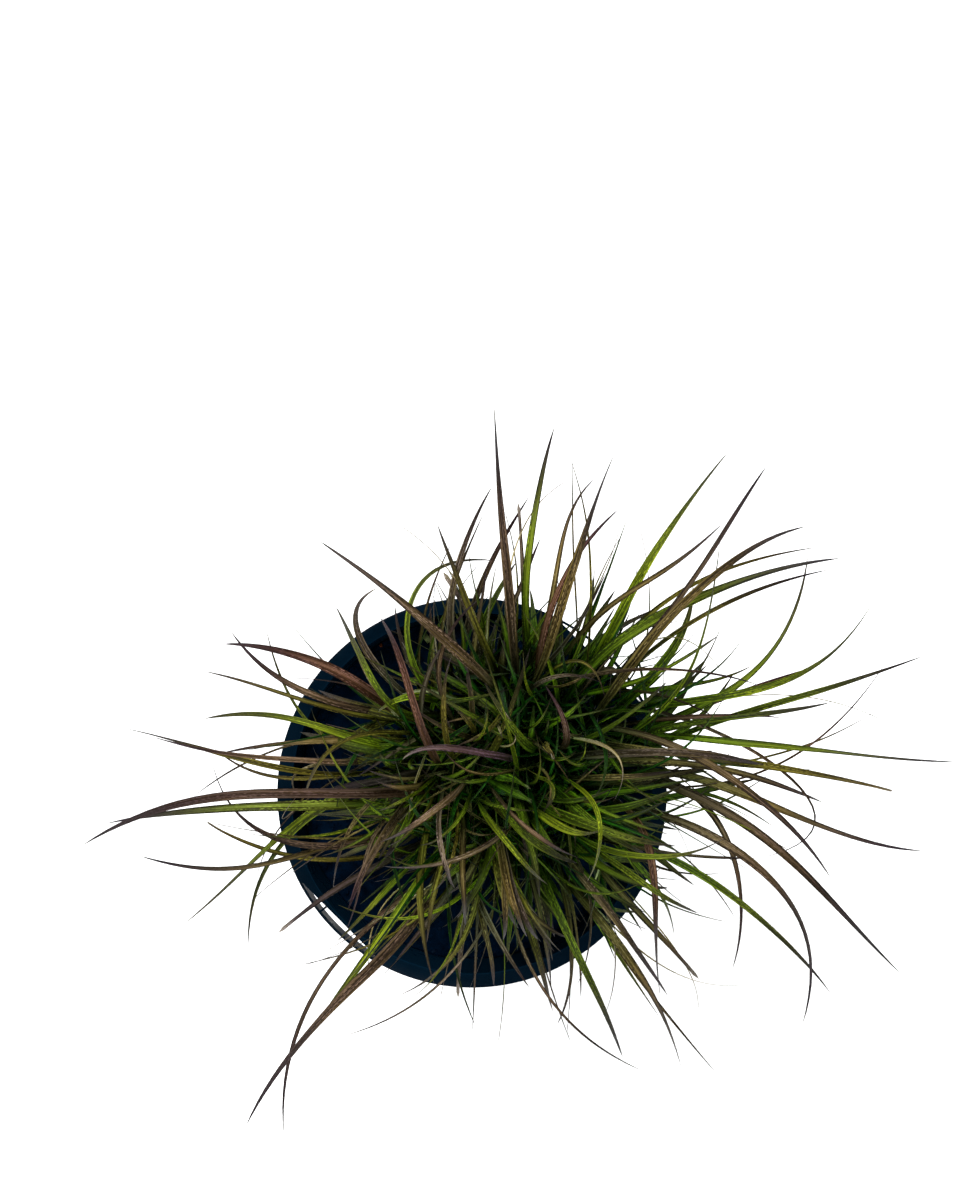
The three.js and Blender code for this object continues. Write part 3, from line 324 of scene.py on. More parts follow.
# The colours along a blade, at its foot, in its middle and at its tip, and of the stripes between
# its ribs, as the photograph's light shows them. The green kinds are darker at their feet, partly
# with painted shade low in the clump, and the shade tint is painted shade: dark at its foot and lit
# at its tip.
TINTS = {
    "lime": ((0.18, 0.32, 0.04), (0.46, 0.51, 0.08), (0.44, 0.41, 0.10), (0.22, 0.28, 0.04)),
    "green": ((0.11, 0.25, 0.03), (0.38, 0.43, 0.08), (0.36, 0.30, 0.14), (0.16, 0.20, 0.04)),
    "olive": ((0.15, 0.24, 0.03), (0.41, 0.38, 0.11), (0.32, 0.25, 0.14), (0.18, 0.15, 0.04)),
    "umber": ((0.20, 0.22, 0.04), (0.42, 0.36, 0.16), (0.27, 0.18, 0.13), (0.15, 0.10, 0.05)),
    "plum": ((0.20, 0.21, 0.05), (0.37, 0.30, 0.17), (0.22, 0.14, 0.15), (0.14, 0.09, 0.08)),
    "wine": ((0.36, 0.29, 0.09), (0.39, 0.28, 0.17), (0.26, 0.16, 0.15), (0.20, 0.11, 0.07)),
    "rust": ((0.46, 0.30, 0.14), (0.34, 0.27, 0.17), (0.25, 0.16, 0.15), (0.20, 0.12, 0.08)),
    "mauve": ((0.26, 0.24, 0.13), (0.38, 0.29, 0.24), (0.46, 0.40, 0.30), (0.22, 0.15, 0.15)),
    "turning": ((0.34, 0.46, 0.08), (0.42, 0.47, 0.13), (0.27, 0.19, 0.15), (0.17, 0.14, 0.06)),
    "dusk": ((0.12, 0.13, 0.06), (0.25, 0.21, 0.14), (0.22, 0.17, 0.14), (0.11, 0.08, 0.06)),
    "smoke": ((0.24, 0.25, 0.09), (0.41, 0.36, 0.22), (0.30, 0.23, 0.16), (0.16, 0.11, 0.08)),
    "striped": ((0.36, 0.34, 0.09), (0.49, 0.41, 0.24), (0.36, 0.26, 0.18), (0.18, 0.11, 0.06)),
    "straw": ((0.38, 0.38, 0.14), (0.64, 0.59, 0.33), (0.68, 0.63, 0.42), (0.34, 0.29, 0.14)),
    "shade": ((0.02, 0.11, 0.01), (0.12, 0.27, 0.03), (0.33, 0.40, 0.07), (0.03, 0.11, 0.01)),
    "deep": ((0.10, 0.24, 0.03), (0.34, 0.43, 0.07), (0.40, 0.47, 0.10), (0.15, 0.26, 0.04)),
}


# Growing the blades, by the rule of the solids

# The draws' word, and the shifts and odd numbers that mix it
WORD = 0xFFFFFFFF
MIXERS = (0x9E3779B1, 0x85EBCA6B, 0xC2B2AE35, 0x27D4EB2F)
STIRS = ((15, 0x2C1B3C6D), (12, 0x297A2D39))
LAST_SHIFT = 15


def draw(stem, blade, attempt, trait):
    """A repeatable draw from 0 to 1 for one stem, blade, attempt and trait."""
    mix = 0
    for value, mixer in zip((stem, blade, attempt, trait), MIXERS):
        mix ^= (value + 1) * mixer & WORD
    for shift, stir in STIRS:
        mix = (mix ^ mix >> shift) * stir & WORD
    return (mix ^ mix >> LAST_SHIFT) / (WORD + 1)


def between(low, high, share):
    return low + (high - low) * share


def soil_height(x, y):
    """The soil's surface, highest round the crown of the plant."""
    from_crown = np.hypot(x - CLUMP[0], y - CLUMP[1]) / CROWN_REACH
    mound = CROWN_RISE * np.maximum(0, 1 - from_crown**2)
    lumps_across = np.sin(x / LUMPS["span_x"] + LUMPS["start_x"])
    lumps = lumps_across * np.cos(y / LUMPS["span_y"] + LUMPS["start_y"])
    crumbs = np.sin((x + y) / CRUMBS["span"])
    return SOIL_LEVEL + mound + LUMPS["rise"] * lumps + CRUMBS["rise"] * crumbs


def under_pixel(pixel, height):
    """The point under a pixel of the photograph at a height above the pot's base."""
    scale = RIM_RADIUS / RIM_PIXELS * (EYE[2] - height) / (EYE[2] - POT_HEIGHT)
    x = EYE[0] + (pixel[0] - FRAME_CENTRE[0]) * scale
    y = EYE[1] - (pixel[1] - FRAME_CENTRE[1]) * scale
    return np.array([x, y, height])


def handle_height(start, end, crest):
    """The middle handle's height of a curve from one height to another whose top is the crest."""
    return crest + math.sqrt((crest - start) * (crest - end))


class Stem:
    """Where a stem stands, how it leans, how long it is, and the blades on it."""

    def __init__(self, index):
        self.index = index
        self.spread = math.sqrt((index + 0.5) / STEM_COUNT)
        self.turn = index * GOLDEN_ANGLE + STEM_SCATTER * (draw(index, 0, 0, 1) - 0.5)
        outward = np.array([math.cos(self.turn), math.sin(self.turn)])
        x, y = CLUMP + CLUMP_RADIUS * self.spread * outward
        lean = STEM_LEAN * self.spread
        self.base = np.array([x, y, soil_height(x, y)])
        self.aim = np.array([*(math.sin(lean) * outward), math.cos(lean)])
        self.length = between(*STEM_LENGTH, draw(index, 0, 0, 2))
        self.blades = []

    def at(self, share):
        return self.base + self.aim * self.length * share

    def under_skin(self, share, side):
        """A point just inside the stem's skin, on one side, at a share of its length."""
        radius = between(STEM_RADIUS, STEM_TOP_RADIUS, share) - ROOT_DEPTH
        return self.at(share) + radius * np.array([*side, 0])

    def foot(self, chance, side):
        """The next blade's foot, on the side that the blade leaves from."""
        share = between(*FOOT_SHARES, (len(self.blades) + FOOT_SCATTER * chance) / BLADES_PER_STEM)
        return self.under_skin(share, side)


def swing_share(s):
    """How much a curve has swung off its arc at s: all of its swing a third of the way along."""
    return SWING_SCALE * s * (1 - s) ** 2


class Blade:
    """One leaf blade: an arc with a middle handle, which may swing off it, a width and a turn
    about the curve."""

    def __init__(self, foot, handle, tip, width, roll, twist, stations=LONG_STATIONS):
        self.foot = foot
        self.handle = handle
        self.swing = np.zeros(3)
        self.tip = tip
        self.width = width
        self.roll = roll
        self.twist = twist
        self.stations = np.array(stations)
        self.tint = "green"
        self.ending = "whip"
        self.seed = 0

    def curve(self, s):
        s = s[:, None]
        arc = (1 - s) ** 2 * self.foot + 2 * s * (1 - s) * self.handle + s**2 * self.tip
        return arc + swing_share(s) * self.swing

    def widths(self, s):
        taper = (np.maximum(1 - s, 0) / TIP_SHARE) ** TIP_POWER
        return self.width * np.minimum(np.minimum(ROOT_SHARE + FLARE * s, 1), taper)

    def frames(self, s):
        """The unit vectors across the blade, and out of its upper face."""
        along = (1 - s)[:, None] * (self.handle - self.foot) + s[:, None] * (self.tip - self.handle)
        along = along + (SWING_SCALE / 2 * (1 - s) * (1 - 3 * s))[:, None] * self.swing
        x, y, z = (along / np.linalg.norm(along, axis=1, keepdims=True)).T
        level = np.hypot(x, y)
        flat = np.stack([y / level, -x / level, 0 * z], 1)
        up = np.stack([flat[:, 1] * z, -flat[:, 0] * z, flat[:, 0] * y - flat[:, 1] * x], 1)
        turn = (self.roll + self.twist * s)[:, None]
        across = flat * np.cos(turn) + up * np.sin(turn)
        return across, up * np.cos(turn) - flat * np.sin(turn)


class Links:
    """Straight links with a half width and a thickness, for keeping blades apart. free_start is
    where a link starts when it is measured against its own stem's blades."""

    def __init__(self, start, end, start_reach, end_reach, free_start, thick):
        self.start = start
        self.end = end
        self.start_reach = start_reach
        self.end_reach = end_reach
        self.free_start = free_start
        self.thick = thick

    @classmethod
    def of_blade(cls, blade):
        points = blade.curve(blade.stations)
        reach = blade.frames(blade.stations)[0] * blade.widths(blade.stations)[:, None] / 2
        free_start = points[:-1].copy()
        free_start[0] = between(points[0], points[1], CLEAR_OF_STEM)
        thick = np.full(len(points) - 1, KEEL)
        return cls(points[:-1], points[1:], reach[:-1], reach[1:], free_start, thick)

    @classmethod
    def of_stem(cls, stem):
        start = stem.at(0)[None]
        none = np.zeros((1, 3))
        return cls(start, stem.at(1)[None], none, none, start, np.array([STEM_RADIUS]))


class Placed:
    """All the links that are in place, as one long Links, and the stem of each."""

    def __init__(self, stems):
        room = STEM_COUNT * (1 + BLADES_PER_STEM * len(LONG_STATIONS))
        tall = [np.zeros((room, 3)) for _ in range(5)]
        self.all = Links(*tall, np.zeros(room))
        self.stem = np.zeros(room, int)
        self.is_stem = np.zeros(room, bool)
        self.count = 0
        for stem in stems:
            self.add(stem, Links.of_stem(stem))
        self.is_stem[: self.count] = True

    def add(self, stem, links):
        rows = slice(self.count, self.count + len(links.thick))
        for name, values in vars(links).items():
            getattr(self.all, name)[rows] = values
        self.stem[rows] = stem.index
        self.count = rows.stop

    def only(self, chosen):
        return Links(*(values[: self.count][chosen] for values in vars(self.all).values()))


def dots(a, b):
    return (a * b).sum(-1)


def room_between(one, other):
    """The room left between pairs of links along the line between their nearest points."""
    d1 = one.end - one.start
    d2 = other.end - other.start
    r = one.start - other.start
    a, e, b = dots(d1, d1), dots(d2, d2), dots(d1, d2)
    c, f = dots(d1, r), dots(d2, r)
    s = np.clip((b * f - c * e) / np.maximum(a * e - b * b, ALMOST_PARALLEL), 0, 1)
    t = (b * s + f) / e
    outside = (t < 0) | (t > 1)
    t = np.clip(t, 0, 1)
    s = np.where(outside, np.clip((b * t - c) / a, 0, 1), s)
    gap = r + d1 * s[:, None] - d2 * t[:, None]
    apart = np.maximum(np.sqrt(dots(gap, gap)), ALMOST_NONE)
    room = apart
    for link in (one, other):
        widest = np.maximum(abs(dots(gap, link.start_reach)), abs(dots(gap, link.end_reach)))
        room = room - link.thick - widest / apart
    return room


def touches(links, others):
    """True where any of a blade's links comes too near any of the others."""
    low = np.minimum(links.start, links.end)[:, None] - WIDEST
    high = np.maximum(links.start, links.end)[:, None] + WIDEST
    over_low = low <= np.maximum(others.start, others.end)
    under_high = np.minimum(others.start, others.end) <= high
    i, j = np.nonzero((over_low & under_high).all(2))
    if not len(i):
        return False
    one = Links(*(values[i] for values in vars(links).values()))
    other = Links(*(values[j] for values in vars(others).values()))
    return bool((room_between(one, other) <= CLEARANCE).any())


def freed(links):
    """The links as they are measured against their own stem's blades."""
    free = vars(links)
    return Links(**{**free, "start": free["free_start"]})


def clears_pot(links):
    """True where a blade's links pass over the rim and stay above the soil."""
    points = between(links.start[:, None], links.end[:, None], LOOKS[:, None])
    from_axis = np.hypot(points[..., 0], points[..., 1])
    lowest = np.where(from_axis > RIM_BAND[0], OVER_RIM, OVER_SOIL)
    lowest = np.where(from_axis > RIM_BAND[1], OVER_GROUND, lowest)
    at_stem = (np.arange(len(points)) == 0)[:, None] & (from_axis <= RIM_BAND[0])
    return bool((at_stem | (points[..., 2] > lowest)).all())


def fits(stem, links, placed, crowded):
    """Blades of one stem may only cross where the stem is crowded, and always meet at the stem."""
    if not clears_pot(links):
        return False
    own = placed.stem[: placed.count] == stem.index
    if touches(links, placed.only(~own)):
        return False
    own_blades = own & ~placed.is_stem[: placed.count]
    return crowded or not touches(freed(links), freed(placed.only(own_blades)))


def route_of(row, foot, tip, top):
    """The plan of a long blade's middle handle and of its swing, for its curve to pass over its
    row's points. A blade without a near point has no swing."""
    stops = [row.root, row.near or row.root, row.via, row.tip]
    legs = [math.dist(before, after) for before, after in zip(stops, stops[1:])]
    u = min(VIA_SHARES[1], max(VIA_SHARES[0], ((legs[0] + legs[1]) / sum(legs)) ** VIA_POWER))
    v = (legs[0] / sum(legs)) ** VIA_POWER

    def pull(s):
        return 2 * s * (1 - s)

    def missing(pixel, s):
        point = under_pixel(pixel, (1 - s) ** 2 * foot[2] + pull(s) * top + s * s * tip[2])
        return (point - (1 - s) ** 2 * foot - s * s * tip)[:2]

    at_via = missing(row.via, u)
    if not row.near:
        return at_via / pull(u), np.zeros(2)
    at_near = missing(row.near, v)
    scale = pull(v) * swing_share(u) - pull(u) * swing_share(v)
    handle = (at_near * swing_share(u) - at_via * swing_share(v)) / scale
    return handle, (pull(v) * at_via - pull(u) * at_near) / scale


def long_blade(row, number, stem, attempt):
    """A long blade of the photograph, at one attempt: the heights vary, the route stays."""
    slack = min(1, attempt / SLACK_ATTEMPTS)
    chance = partial(draw, number, BLADES_PER_STEM, attempt)
    crest = row.crest + CREST_SLACK * (chance(2) - 0.5) * 2 * slack
    goal = under_pixel(row.near or row.via, crest)[:2] - stem.base[:2]
    foot = stem.foot(chance(1), goal / np.hypot(*goal))
    end = min(row.end + TIP_SLACK * (chance(3) - 0.5) * 2 * slack, crest - TIP_BELOW_CREST)
    tip = under_pixel(row.tip, end)
    top = handle_height(foot[2], end, crest)
    handle, swing = route_of(row, foot, tip, top)
    roll = (chance(4) - 0.5) * LONG_ROLL
    twist = (chance(5) - 0.5) * LONG_TWIST
    blade = Blade(foot, np.array([*handle, top]), tip, row.width, roll, twist)
    blade.swing = np.array([*swing, 0])
    return blade


def fill_reach(heading):
    """How far from the clump's middle the shorter blades may reach on one heading."""
    step = heading / (2 * math.pi) * len(FILL_REACH)
    before = math.floor(step) % len(FILL_REACH)
    after = (before + 1) % len(FILL_REACH)
    return between(FILL_REACH[before], FILL_REACH[after], step - math.floor(step))


def arch(foot, ahead, reach, rise, droop, bow, chance):
    """The middle handle and the tip of a shorter blade that goes ahead from its foot, rises,
    droops and bows to one side."""
    aside = np.array([-ahead[1], ahead[0]])
    bend = foot[:2] + reach * between(*EARLY, chance(7)) * ahead
    bend = bend + reach * bow * (chance(6) - 0.5) * aside
    crest = foot[2] + rise
    end = crest - droop
    handle = np.array([*bend, handle_height(foot[2], end, crest)])
    return handle, np.array([*(foot[:2] + reach * ahead), end])


def fill_blade(stem, order, attempt):
    """A shorter blade that fills the clump, fanned round the side that its stem is on."""
    chance = partial(draw, stem.index, order, attempt)
    heading = stem.turn + between(*FAN, stem.spread) * (chance(2) - 0.5) * 2
    ahead = np.array([math.cos(heading), math.sin(heading)])
    foot = stem.foot(chance(1), ahead)
    length = between(*FILL_LENGTH, chance(3)) * between(*FILL_LENGTH_SHARE, stem.spread)
    rise = between(between(*STEEPEST, stem.spread), between(*FLATTEST, stem.spread), chance(4))
    allowed = fill_reach(heading) * between(*FILL_REACH_SHARE, chance(11))
    room = allowed - dots(foot[:2] - CLUMP, ahead)
    reach = max(SHORTEST_REACH, min(length * math.sqrt(1 - rise * rise), room))
    droop = length * between(*DROOP, chance(5))
    handle, tip = arch(foot, ahead, reach, length * rise, droop, BOW, chance)
    width = between(*FILL_WIDTH, chance(8))
    roll = (chance(9) - 0.5) * FILL_ROLL
    twist = (chance(10) - 0.5) * FILL_TWIST
    return Blade(foot, handle, tip, width, roll, twist, FILL_STATIONS)


def stems_near(stems, pixel):
    """The stems, the nearest to a blade's root first and those with many blades later."""
    spot = under_pixel(pixel, SOIL_LEVEL + STEM_LENGTH[1])[:2]

    def cost(stem):
        return math.dist(stem.at(FOOT_AIM)[:2], spot) + LOADED_STEM * len(stem.blades)

    return sorted(stems, key=cost)


def grow_stems():
    """Every stem with its blades: the long ones first, then the ones that fill the clump. The
    rows that find no room are given back."""
    stems = [Stem(index) for index in range(STEM_COUNT)]
    placed = Placed(stems)
    missed = []

    def keep(stem, blade, attempt):
        links = Links.of_blade(blade)
        if not fits(stem, links, placed, attempt > CROWDED_ATTEMPT):
            return False
        stem.blades.append(blade)
        placed.add(stem, links)
        return True

    for number, row in enumerate(LONG_BLADES):
        near = stems_near(stems, row.root)
        for attempt in range(ATTEMPTS):
            stem = near[attempt % NEAREST_STEMS]
            blade = long_blade(row, number, stem, attempt)
            blade.tint, blade.ending, blade.seed = row.tint, row.ending, number
            if keep(stem, blade, attempt):
                break
        else:
            missed.append(row)
    for order in range(BLADES_PER_STEM):
        for stem in stems:
            for attempt in range(FILL_ATTEMPTS if len(stem.blades) < BLADES_PER_STEM else 0):
                blade = fill_blade(stem, order, attempt)
                blade.seed = len(LONG_BLADES) + order * STEM_COUNT + stem.index
                blade.tint = fill_tint(stem, order)
                if keep(stem, blade, attempt):
                    break
    return stems, missed


# Settings that a user would change

def length(name, description, default, **limits):
    return bpy.props.FloatProperty(
        name=name, description=description, default=default, unit="LENGTH", precision=5, **limits
    )


def share(name, description, default):
    return bpy.props.FloatProperty(
        name=name, description=description, default=default, min=0, max=1, subtype="FACTOR"
    )


def colour(name, description, default):
    return bpy.props.FloatVectorProperty(
        name=name, description=description, default=default, size=3, min=0, max=1, subtype="COLOR"
    )


class PotSettings(bpy.types.PropertyGroup):
    """The look of the pot."""

    plastic: colour("Plastic", "Colour of the moulded plastic", (0.0, 0.0022, 0.0052))
    # The colour of the dust and water marks, also laid in full on the inside of the wall as painted
    # light
    dust_film_and_wall_light: colour("Film", "Colour of the dried water and dust on it", (0.001, 0.008, 0.017))
    dust: share("Dust", "How much dust lies on the rim and the wall", 0.2)
    rounding: length("Rounding", "Radius of the moulded edges", 0.0008, min=0.0001)
    sides: bpy.props.IntProperty(
        name="Sides", description="Faces round the pot", default=192, min=24
    )


class SoilSettings(bpy.types.PropertyGroup):
    """The look of the potting mix."""

    damp: colour("Damp", "Colour of the damp mix", (0.0002, 0.0022, 0.0064))
    crumb: colour("Crumb", "Colour of its drier crumbs", (0.0014, 0.0036, 0.0084))
    crumb_size: length("Crumb size", "Largest crumb's radius", 0.0026, min=0.0002)
    crumbs: bpy.props.IntProperty(
        name="Crumbs", description="Number of loose crumbs", default=2200, min=0
    )


class GrassSettings(bpy.types.PropertyGroup):
    """The look of the leaf blades."""

    thickness: length("Thickness", "Thickness of a blade at its midrib", 0.0006, min=0.0001)
    fold: bpy.props.FloatProperty(
        name="Fold", description="How far a blade's halves fold up at its foot",
        default=math.radians(52), subtype="ANGLE",
    )
    sway: share("Sway", "How far a blade strays from its curve, as a share of its length", 0.0022)
    inner_blades: bpy.props.IntProperty(
        name="Inner blades", description="Short blades on each stem's foot", default=16, min=0
    )
    brightness: bpy.props.FloatProperty(
        name="Brightness", description="Share of the light that the blades give back",
        default=0.57, min=0, max=2,
    )


class StageSettings(bpy.types.PropertyGroup):
    """The floor, the lights and the camera."""

    floor: colour("Floor", "Colour of the floor", (0.9, 0.9, 0.9))
    floor_size: length("Floor size", "Side of the floor", 24, min=1)
    key: bpy.props.FloatProperty(
        name="Key light", description="Power of the light from the upper left",
        default=110, unit="POWER",
    )
    fill: bpy.props.FloatProperty(
        name="Fill lights", description="Power of each of the other lights",
        default=55, unit="POWER",
    )
    sky: share("Sky", "Brightness of the light from all round", 0.35)


# Making meshes

# What each corner of a skin holds for its material: the kind of value and its field
SKIN_VALUES = {
    "tint": ("FLOAT_COLOR", "color"),
    "stripe": ("FLOAT_COLOR", "color"),
    "side": ("FLOAT", "value"),
    "place": ("FLOAT2", "vector"),
    "own": ("FLOAT", "value"),
}
GAMMA = 2.2


def to_row(points):
    """Millimetres in the plan of the photograph turned into metres in the row's frame."""
    cos, sin = math.cos(GRIPS_TO_PHOTOGRAPH), math.sin(GRIPS_TO_PHOTOGRAPH)
    x, y, z = np.asarray(points, float).T
    return np.stack([x * cos - y * sin, x * sin + y * cos, z], 1) * MM


def linear(colours):
    """Colours as a picture holds them turned into amounts of light."""
    return np.asarray(colours, float) ** GAMMA


class Skin:
    """The corners and faces of one piece as it is put together, and each corner's values: its
    tint, its stripes' tint, which edge of the blade it's at (side), its place on the blade and
    the blade's own number from 0 to 1."""

    def __init__(self):
        self.corners = []
        self.faces = []
        self.values = {}
        self.count = 0

    def add(self, corners, faces, **values):
        self.corners.append(corners)
        self.faces.extend(tuple(self.count + corner for corner in face) for face in faces)
        for name, given in values.items():
            self.values.setdefault(name, []).append(given)
        self.count += len(corners)

    def mesh(self, name):
        mesh = bpy.data.meshes.new(name)
        corners = np.clip(to_row(np.concatenate(self.corners)), *CAD_BOX)
        mesh.from_pydata(corners, [], self.faces)
        for key, parts in self.values.items():
            values = np.concatenate(parts)
            kind, field = SKIN_VALUES[key]
            if kind == "FLOAT_COLOR":
                values = np.column_stack([values, np.ones(len(values))])
            layer = mesh.attributes.new(key, kind, "POINT")
            layer.data.foreach_set(field, values.astype(np.float32).ravel())
        mesh.validate()
        return mesh


def put(name, mesh, material, nodes):
    """A mesh as a piece of the object, riding with its body and standing for its nodes."""
    for face in mesh.polygons:
        face.use_smooth = True
    mesh.materials.append(material)
    piece = bpy.data.objects.new(name, mesh)
    bpy.context.scene.collection.objects.link(piece)
    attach(piece, BODY)
    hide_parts(*nodes)


def whole_turn(sides):
    """Unit vectors in equal steps round a full turn."""
    turn = np.linspace(0, 2 * math.pi, sides, endpoint=False)
    return np.stack([np.cos(turn), np.sin(turn)], 1)


def ring_faces(rings, sides):
    """Faces between closed rings of corners that follow one another."""
    faces = []
    for ring in range(rings - 1):
        for side in range(sides):
            a = ring * sides + side
            b = ring * sides + (side + 1) % sides
            faces.append((a, b, b + sides, a + sides))
    return faces


def tube_faces(rings, sides):
    """Faces between closed rings of corners, with a flat face at each end."""
    faces = ring_faces(rings, sides)
    faces.append(tuple(range(sides))[::-1])
    faces.append(tuple(range((rings - 1) * sides, rings * sides)))
    return faces


def fanned(rings, low, high):
    """The corners and faces of a body of rings, closed by fans round a low and a high point."""
    sides = len(rings[0])
    corners = np.concatenate([*rings, [low, high]])
    faces = ring_faces(len(rings), sides)
    last = (len(rings) - 1) * sides
    for side in range(sides):
        following = (side + 1) % sides
        faces.append((len(corners) - 2, following, side))
        faces.append((len(corners) - 1, last + side, last + following))
    return corners, faces


# Skins of blades and stems

# Rings along a blade, and corners over and under each ring as shares of its half width
BLADE_RINGS = 30
SHORT_RINGS = 15
SHORT_LENGTH = 125
CURL_RINGS = 12
RING_POWER = 0.92
TOP_SHARES = np.array([-1, -0.62, -0.3, 0, 0.3, 0.62, 1])
UNDER_SHARES = np.array([0.62, 0, -0.62])

# Shape of a blade: its fold, its edges and its tip
EDGE_RISE = 1.25
EDGE_THICKNESS = 0.25
MOST_THICKNESS = 0.5
FLATTENING = 1.4
TIP_FLATTENS = 0.8
TIP_HALF = 0.22
TIP_POINT = 0.02
TIP_LEAST = 0.1
BLUNT_SHARE = 0.42
BLUNT_LENGTH = 0.03
CURL_START = 0.88
CURL_TURN = math.radians(250)

# How a blade sways and wrings: waves a blade, and the strength of the quick ones
OWN_DRAWS = 9
SWAY_GROWTH = 1.2
SWAY_WAVES = 4
QUICK_ASIDE = (11, 0.4)
QUICK_UP = (10, 0.3)
SWAY_UP = 0.6
TIP_STILL = 6
WRING = math.radians(24)
WRING_GROWTH = 2
WRING_WAVES = (4, 9)

# Colour along a blade
MIDDLE_FROM = 0.34
MIDDLE_TO = 0.66
FOOT_STRIPE = 0.62
STRIPE_GROWTH = 2.5
MOST_STRIPE = 0.8
END_STRIPE = 0.7
TONE_SPREAD = 0.24
DRY = (0.62, 0.57, 0.40)
DARK = (0.13, 0.09, 0.10)
# How each kind of blade ends: where its last colour starts and is whole, how much of it there is,
# and the colour
ENDINGS = {
    "whip": (0.62, 0.95, 0.65, DARK),
    "dark": (0.55, 0.95, 1, DARK),
    "dry": (0.9, 1, 1, DRY),
    "blunt": (0.9, 1, 1, DRY),
    "curl": (0.9, 1, 1, DRY),
}

# Painted shade deep in the clump: blades tinted darker and greener low down near its middle
PAINTED_SHADE_CENTRE = (42, 20)
PAINTED_SHADE_RADIUS = 118
PAINTED_SHADE_TOP = 362
PAINTED_SHADE_DEPTH = 88
PAINTED_SHADE_TINT = np.array([0.02, 0.62, 0.24])

# Where each blade's own piece of the grain starts: steps across and along, and how many there are
GRAIN_STEP = (20, 31)
GRAIN_PLACES = (97, 89)


def own_draw(blade, trait):
    """A repeatable draw from 0 to 1 for one trait of a blade's looks."""
    return draw(blade.seed, OWN_DRAWS, 0, trait)


def strayed(blade, s, sway):
    """A blade's curve with slight bends of its own, none at its foot and its tip."""
    across, face = blade.frames(s)
    phase = 2 * math.pi * np.array([own_draw(blade, trait) for trait in range(4)])
    grown = np.sin(math.pi * np.minimum(s * SWAY_GROWTH, 0.5)) * (1 - s**TIP_STILL) * sway

    def waves(quick, slow_phase, quick_phase):
        pace, strength = quick
        return np.sin(SWAY_WAVES * s + slow_phase) + strength * np.sin(pace * s + quick_phase)

    aside = grown * waves(QUICK_ASIDE, phase[0], phase[1])
    up = grown * waves(QUICK_UP, phase[2], phase[3])
    return blade.curve(s) + across * aside[:, None] + face * (SWAY_UP * up)[:, None]


def twisted(blade, s, across, face):
    """The frames turned to and fro about the blade, as a thin leaf does."""
    phase = 2 * math.pi * own_draw(blade, 6)
    pace = between(*WRING_WAVES, own_draw(blade, 7))
    turn = (WRING * np.clip(s * WRING_GROWTH, 0, 1) * np.sin(pace * s + phase))[:, None]
    return across * np.cos(turn) + face * np.sin(turn), face * np.cos(turn) - across * np.sin(turn)


def curled(points, across, face, start):
    """The points past start wound round into a curl, with the frames that go with them."""
    points, face = points.copy(), face.copy()
    steps = np.diff(points, axis=0)
    lengths = [np.linalg.norm(step) for step in steps]
    for ring in range(start, len(points) - 1):
        turn = CURL_TURN * (ring - start + 1) / (len(points) - 1 - start)
        spin = np.array(Matrix.Rotation(turn, 3, Vector(across[start])))
        points[ring + 1] = points[ring] + spin @ steps[start] / lengths[start] * lengths[ring]
        face[ring + 1] = spin @ face[start]
    return points, face


def blade_tints(blade, s):
    """The colours along a blade and of its stripes, with painted shade deep in the clump."""
    foot, middle, tip, stripe = (linear(stop) for stop in TINTS[blade.tint])
    tint = between(foot, middle, np.clip(s / MIDDLE_FROM, 0, 1)[:, None])
    tint = between(tint, tip, np.clip((s - MIDDLE_TO) / (1 - MIDDLE_TO), 0, 1)[:, None])
    most_stripe = np.clip(s * STRIPE_GROWTH, 0, MOST_STRIPE)[:, None]
    stripe = between(tint * FOOT_STRIPE, stripe, most_stripe)
    start, whole, most, last = ENDINGS[blade.ending]
    ended = (most * np.clip((s - start) / (whole - start), 0, 1))[:, None]
    tint = between(tint, linear(last), ended)
    stripe = between(stripe, linear(last) * END_STRIPE, ended)
    # Painted shade: darker and greener low down near the clump's middle, by how near and how low
    x, y, z = blade.curve(s).T
    from_centre = np.hypot(x - PAINTED_SHADE_CENTRE[0], y - PAINTED_SHADE_CENTRE[1])
    near = np.sqrt(np.clip(1 - from_centre / PAINTED_SHADE_RADIUS, 0, 1))
    low = np.clip((PAINTED_SHADE_TOP - z) / PAINTED_SHADE_DEPTH, 0, 1)
    tone = 1 + TONE_SPREAD * 2 * (own_draw(blade, 5) - 0.5)
    painted_shade = between(1, PAINTED_SHADE_TINT, (near * low)[:, None]) * tone
    return tint * painted_shade, stripe * painted_shade


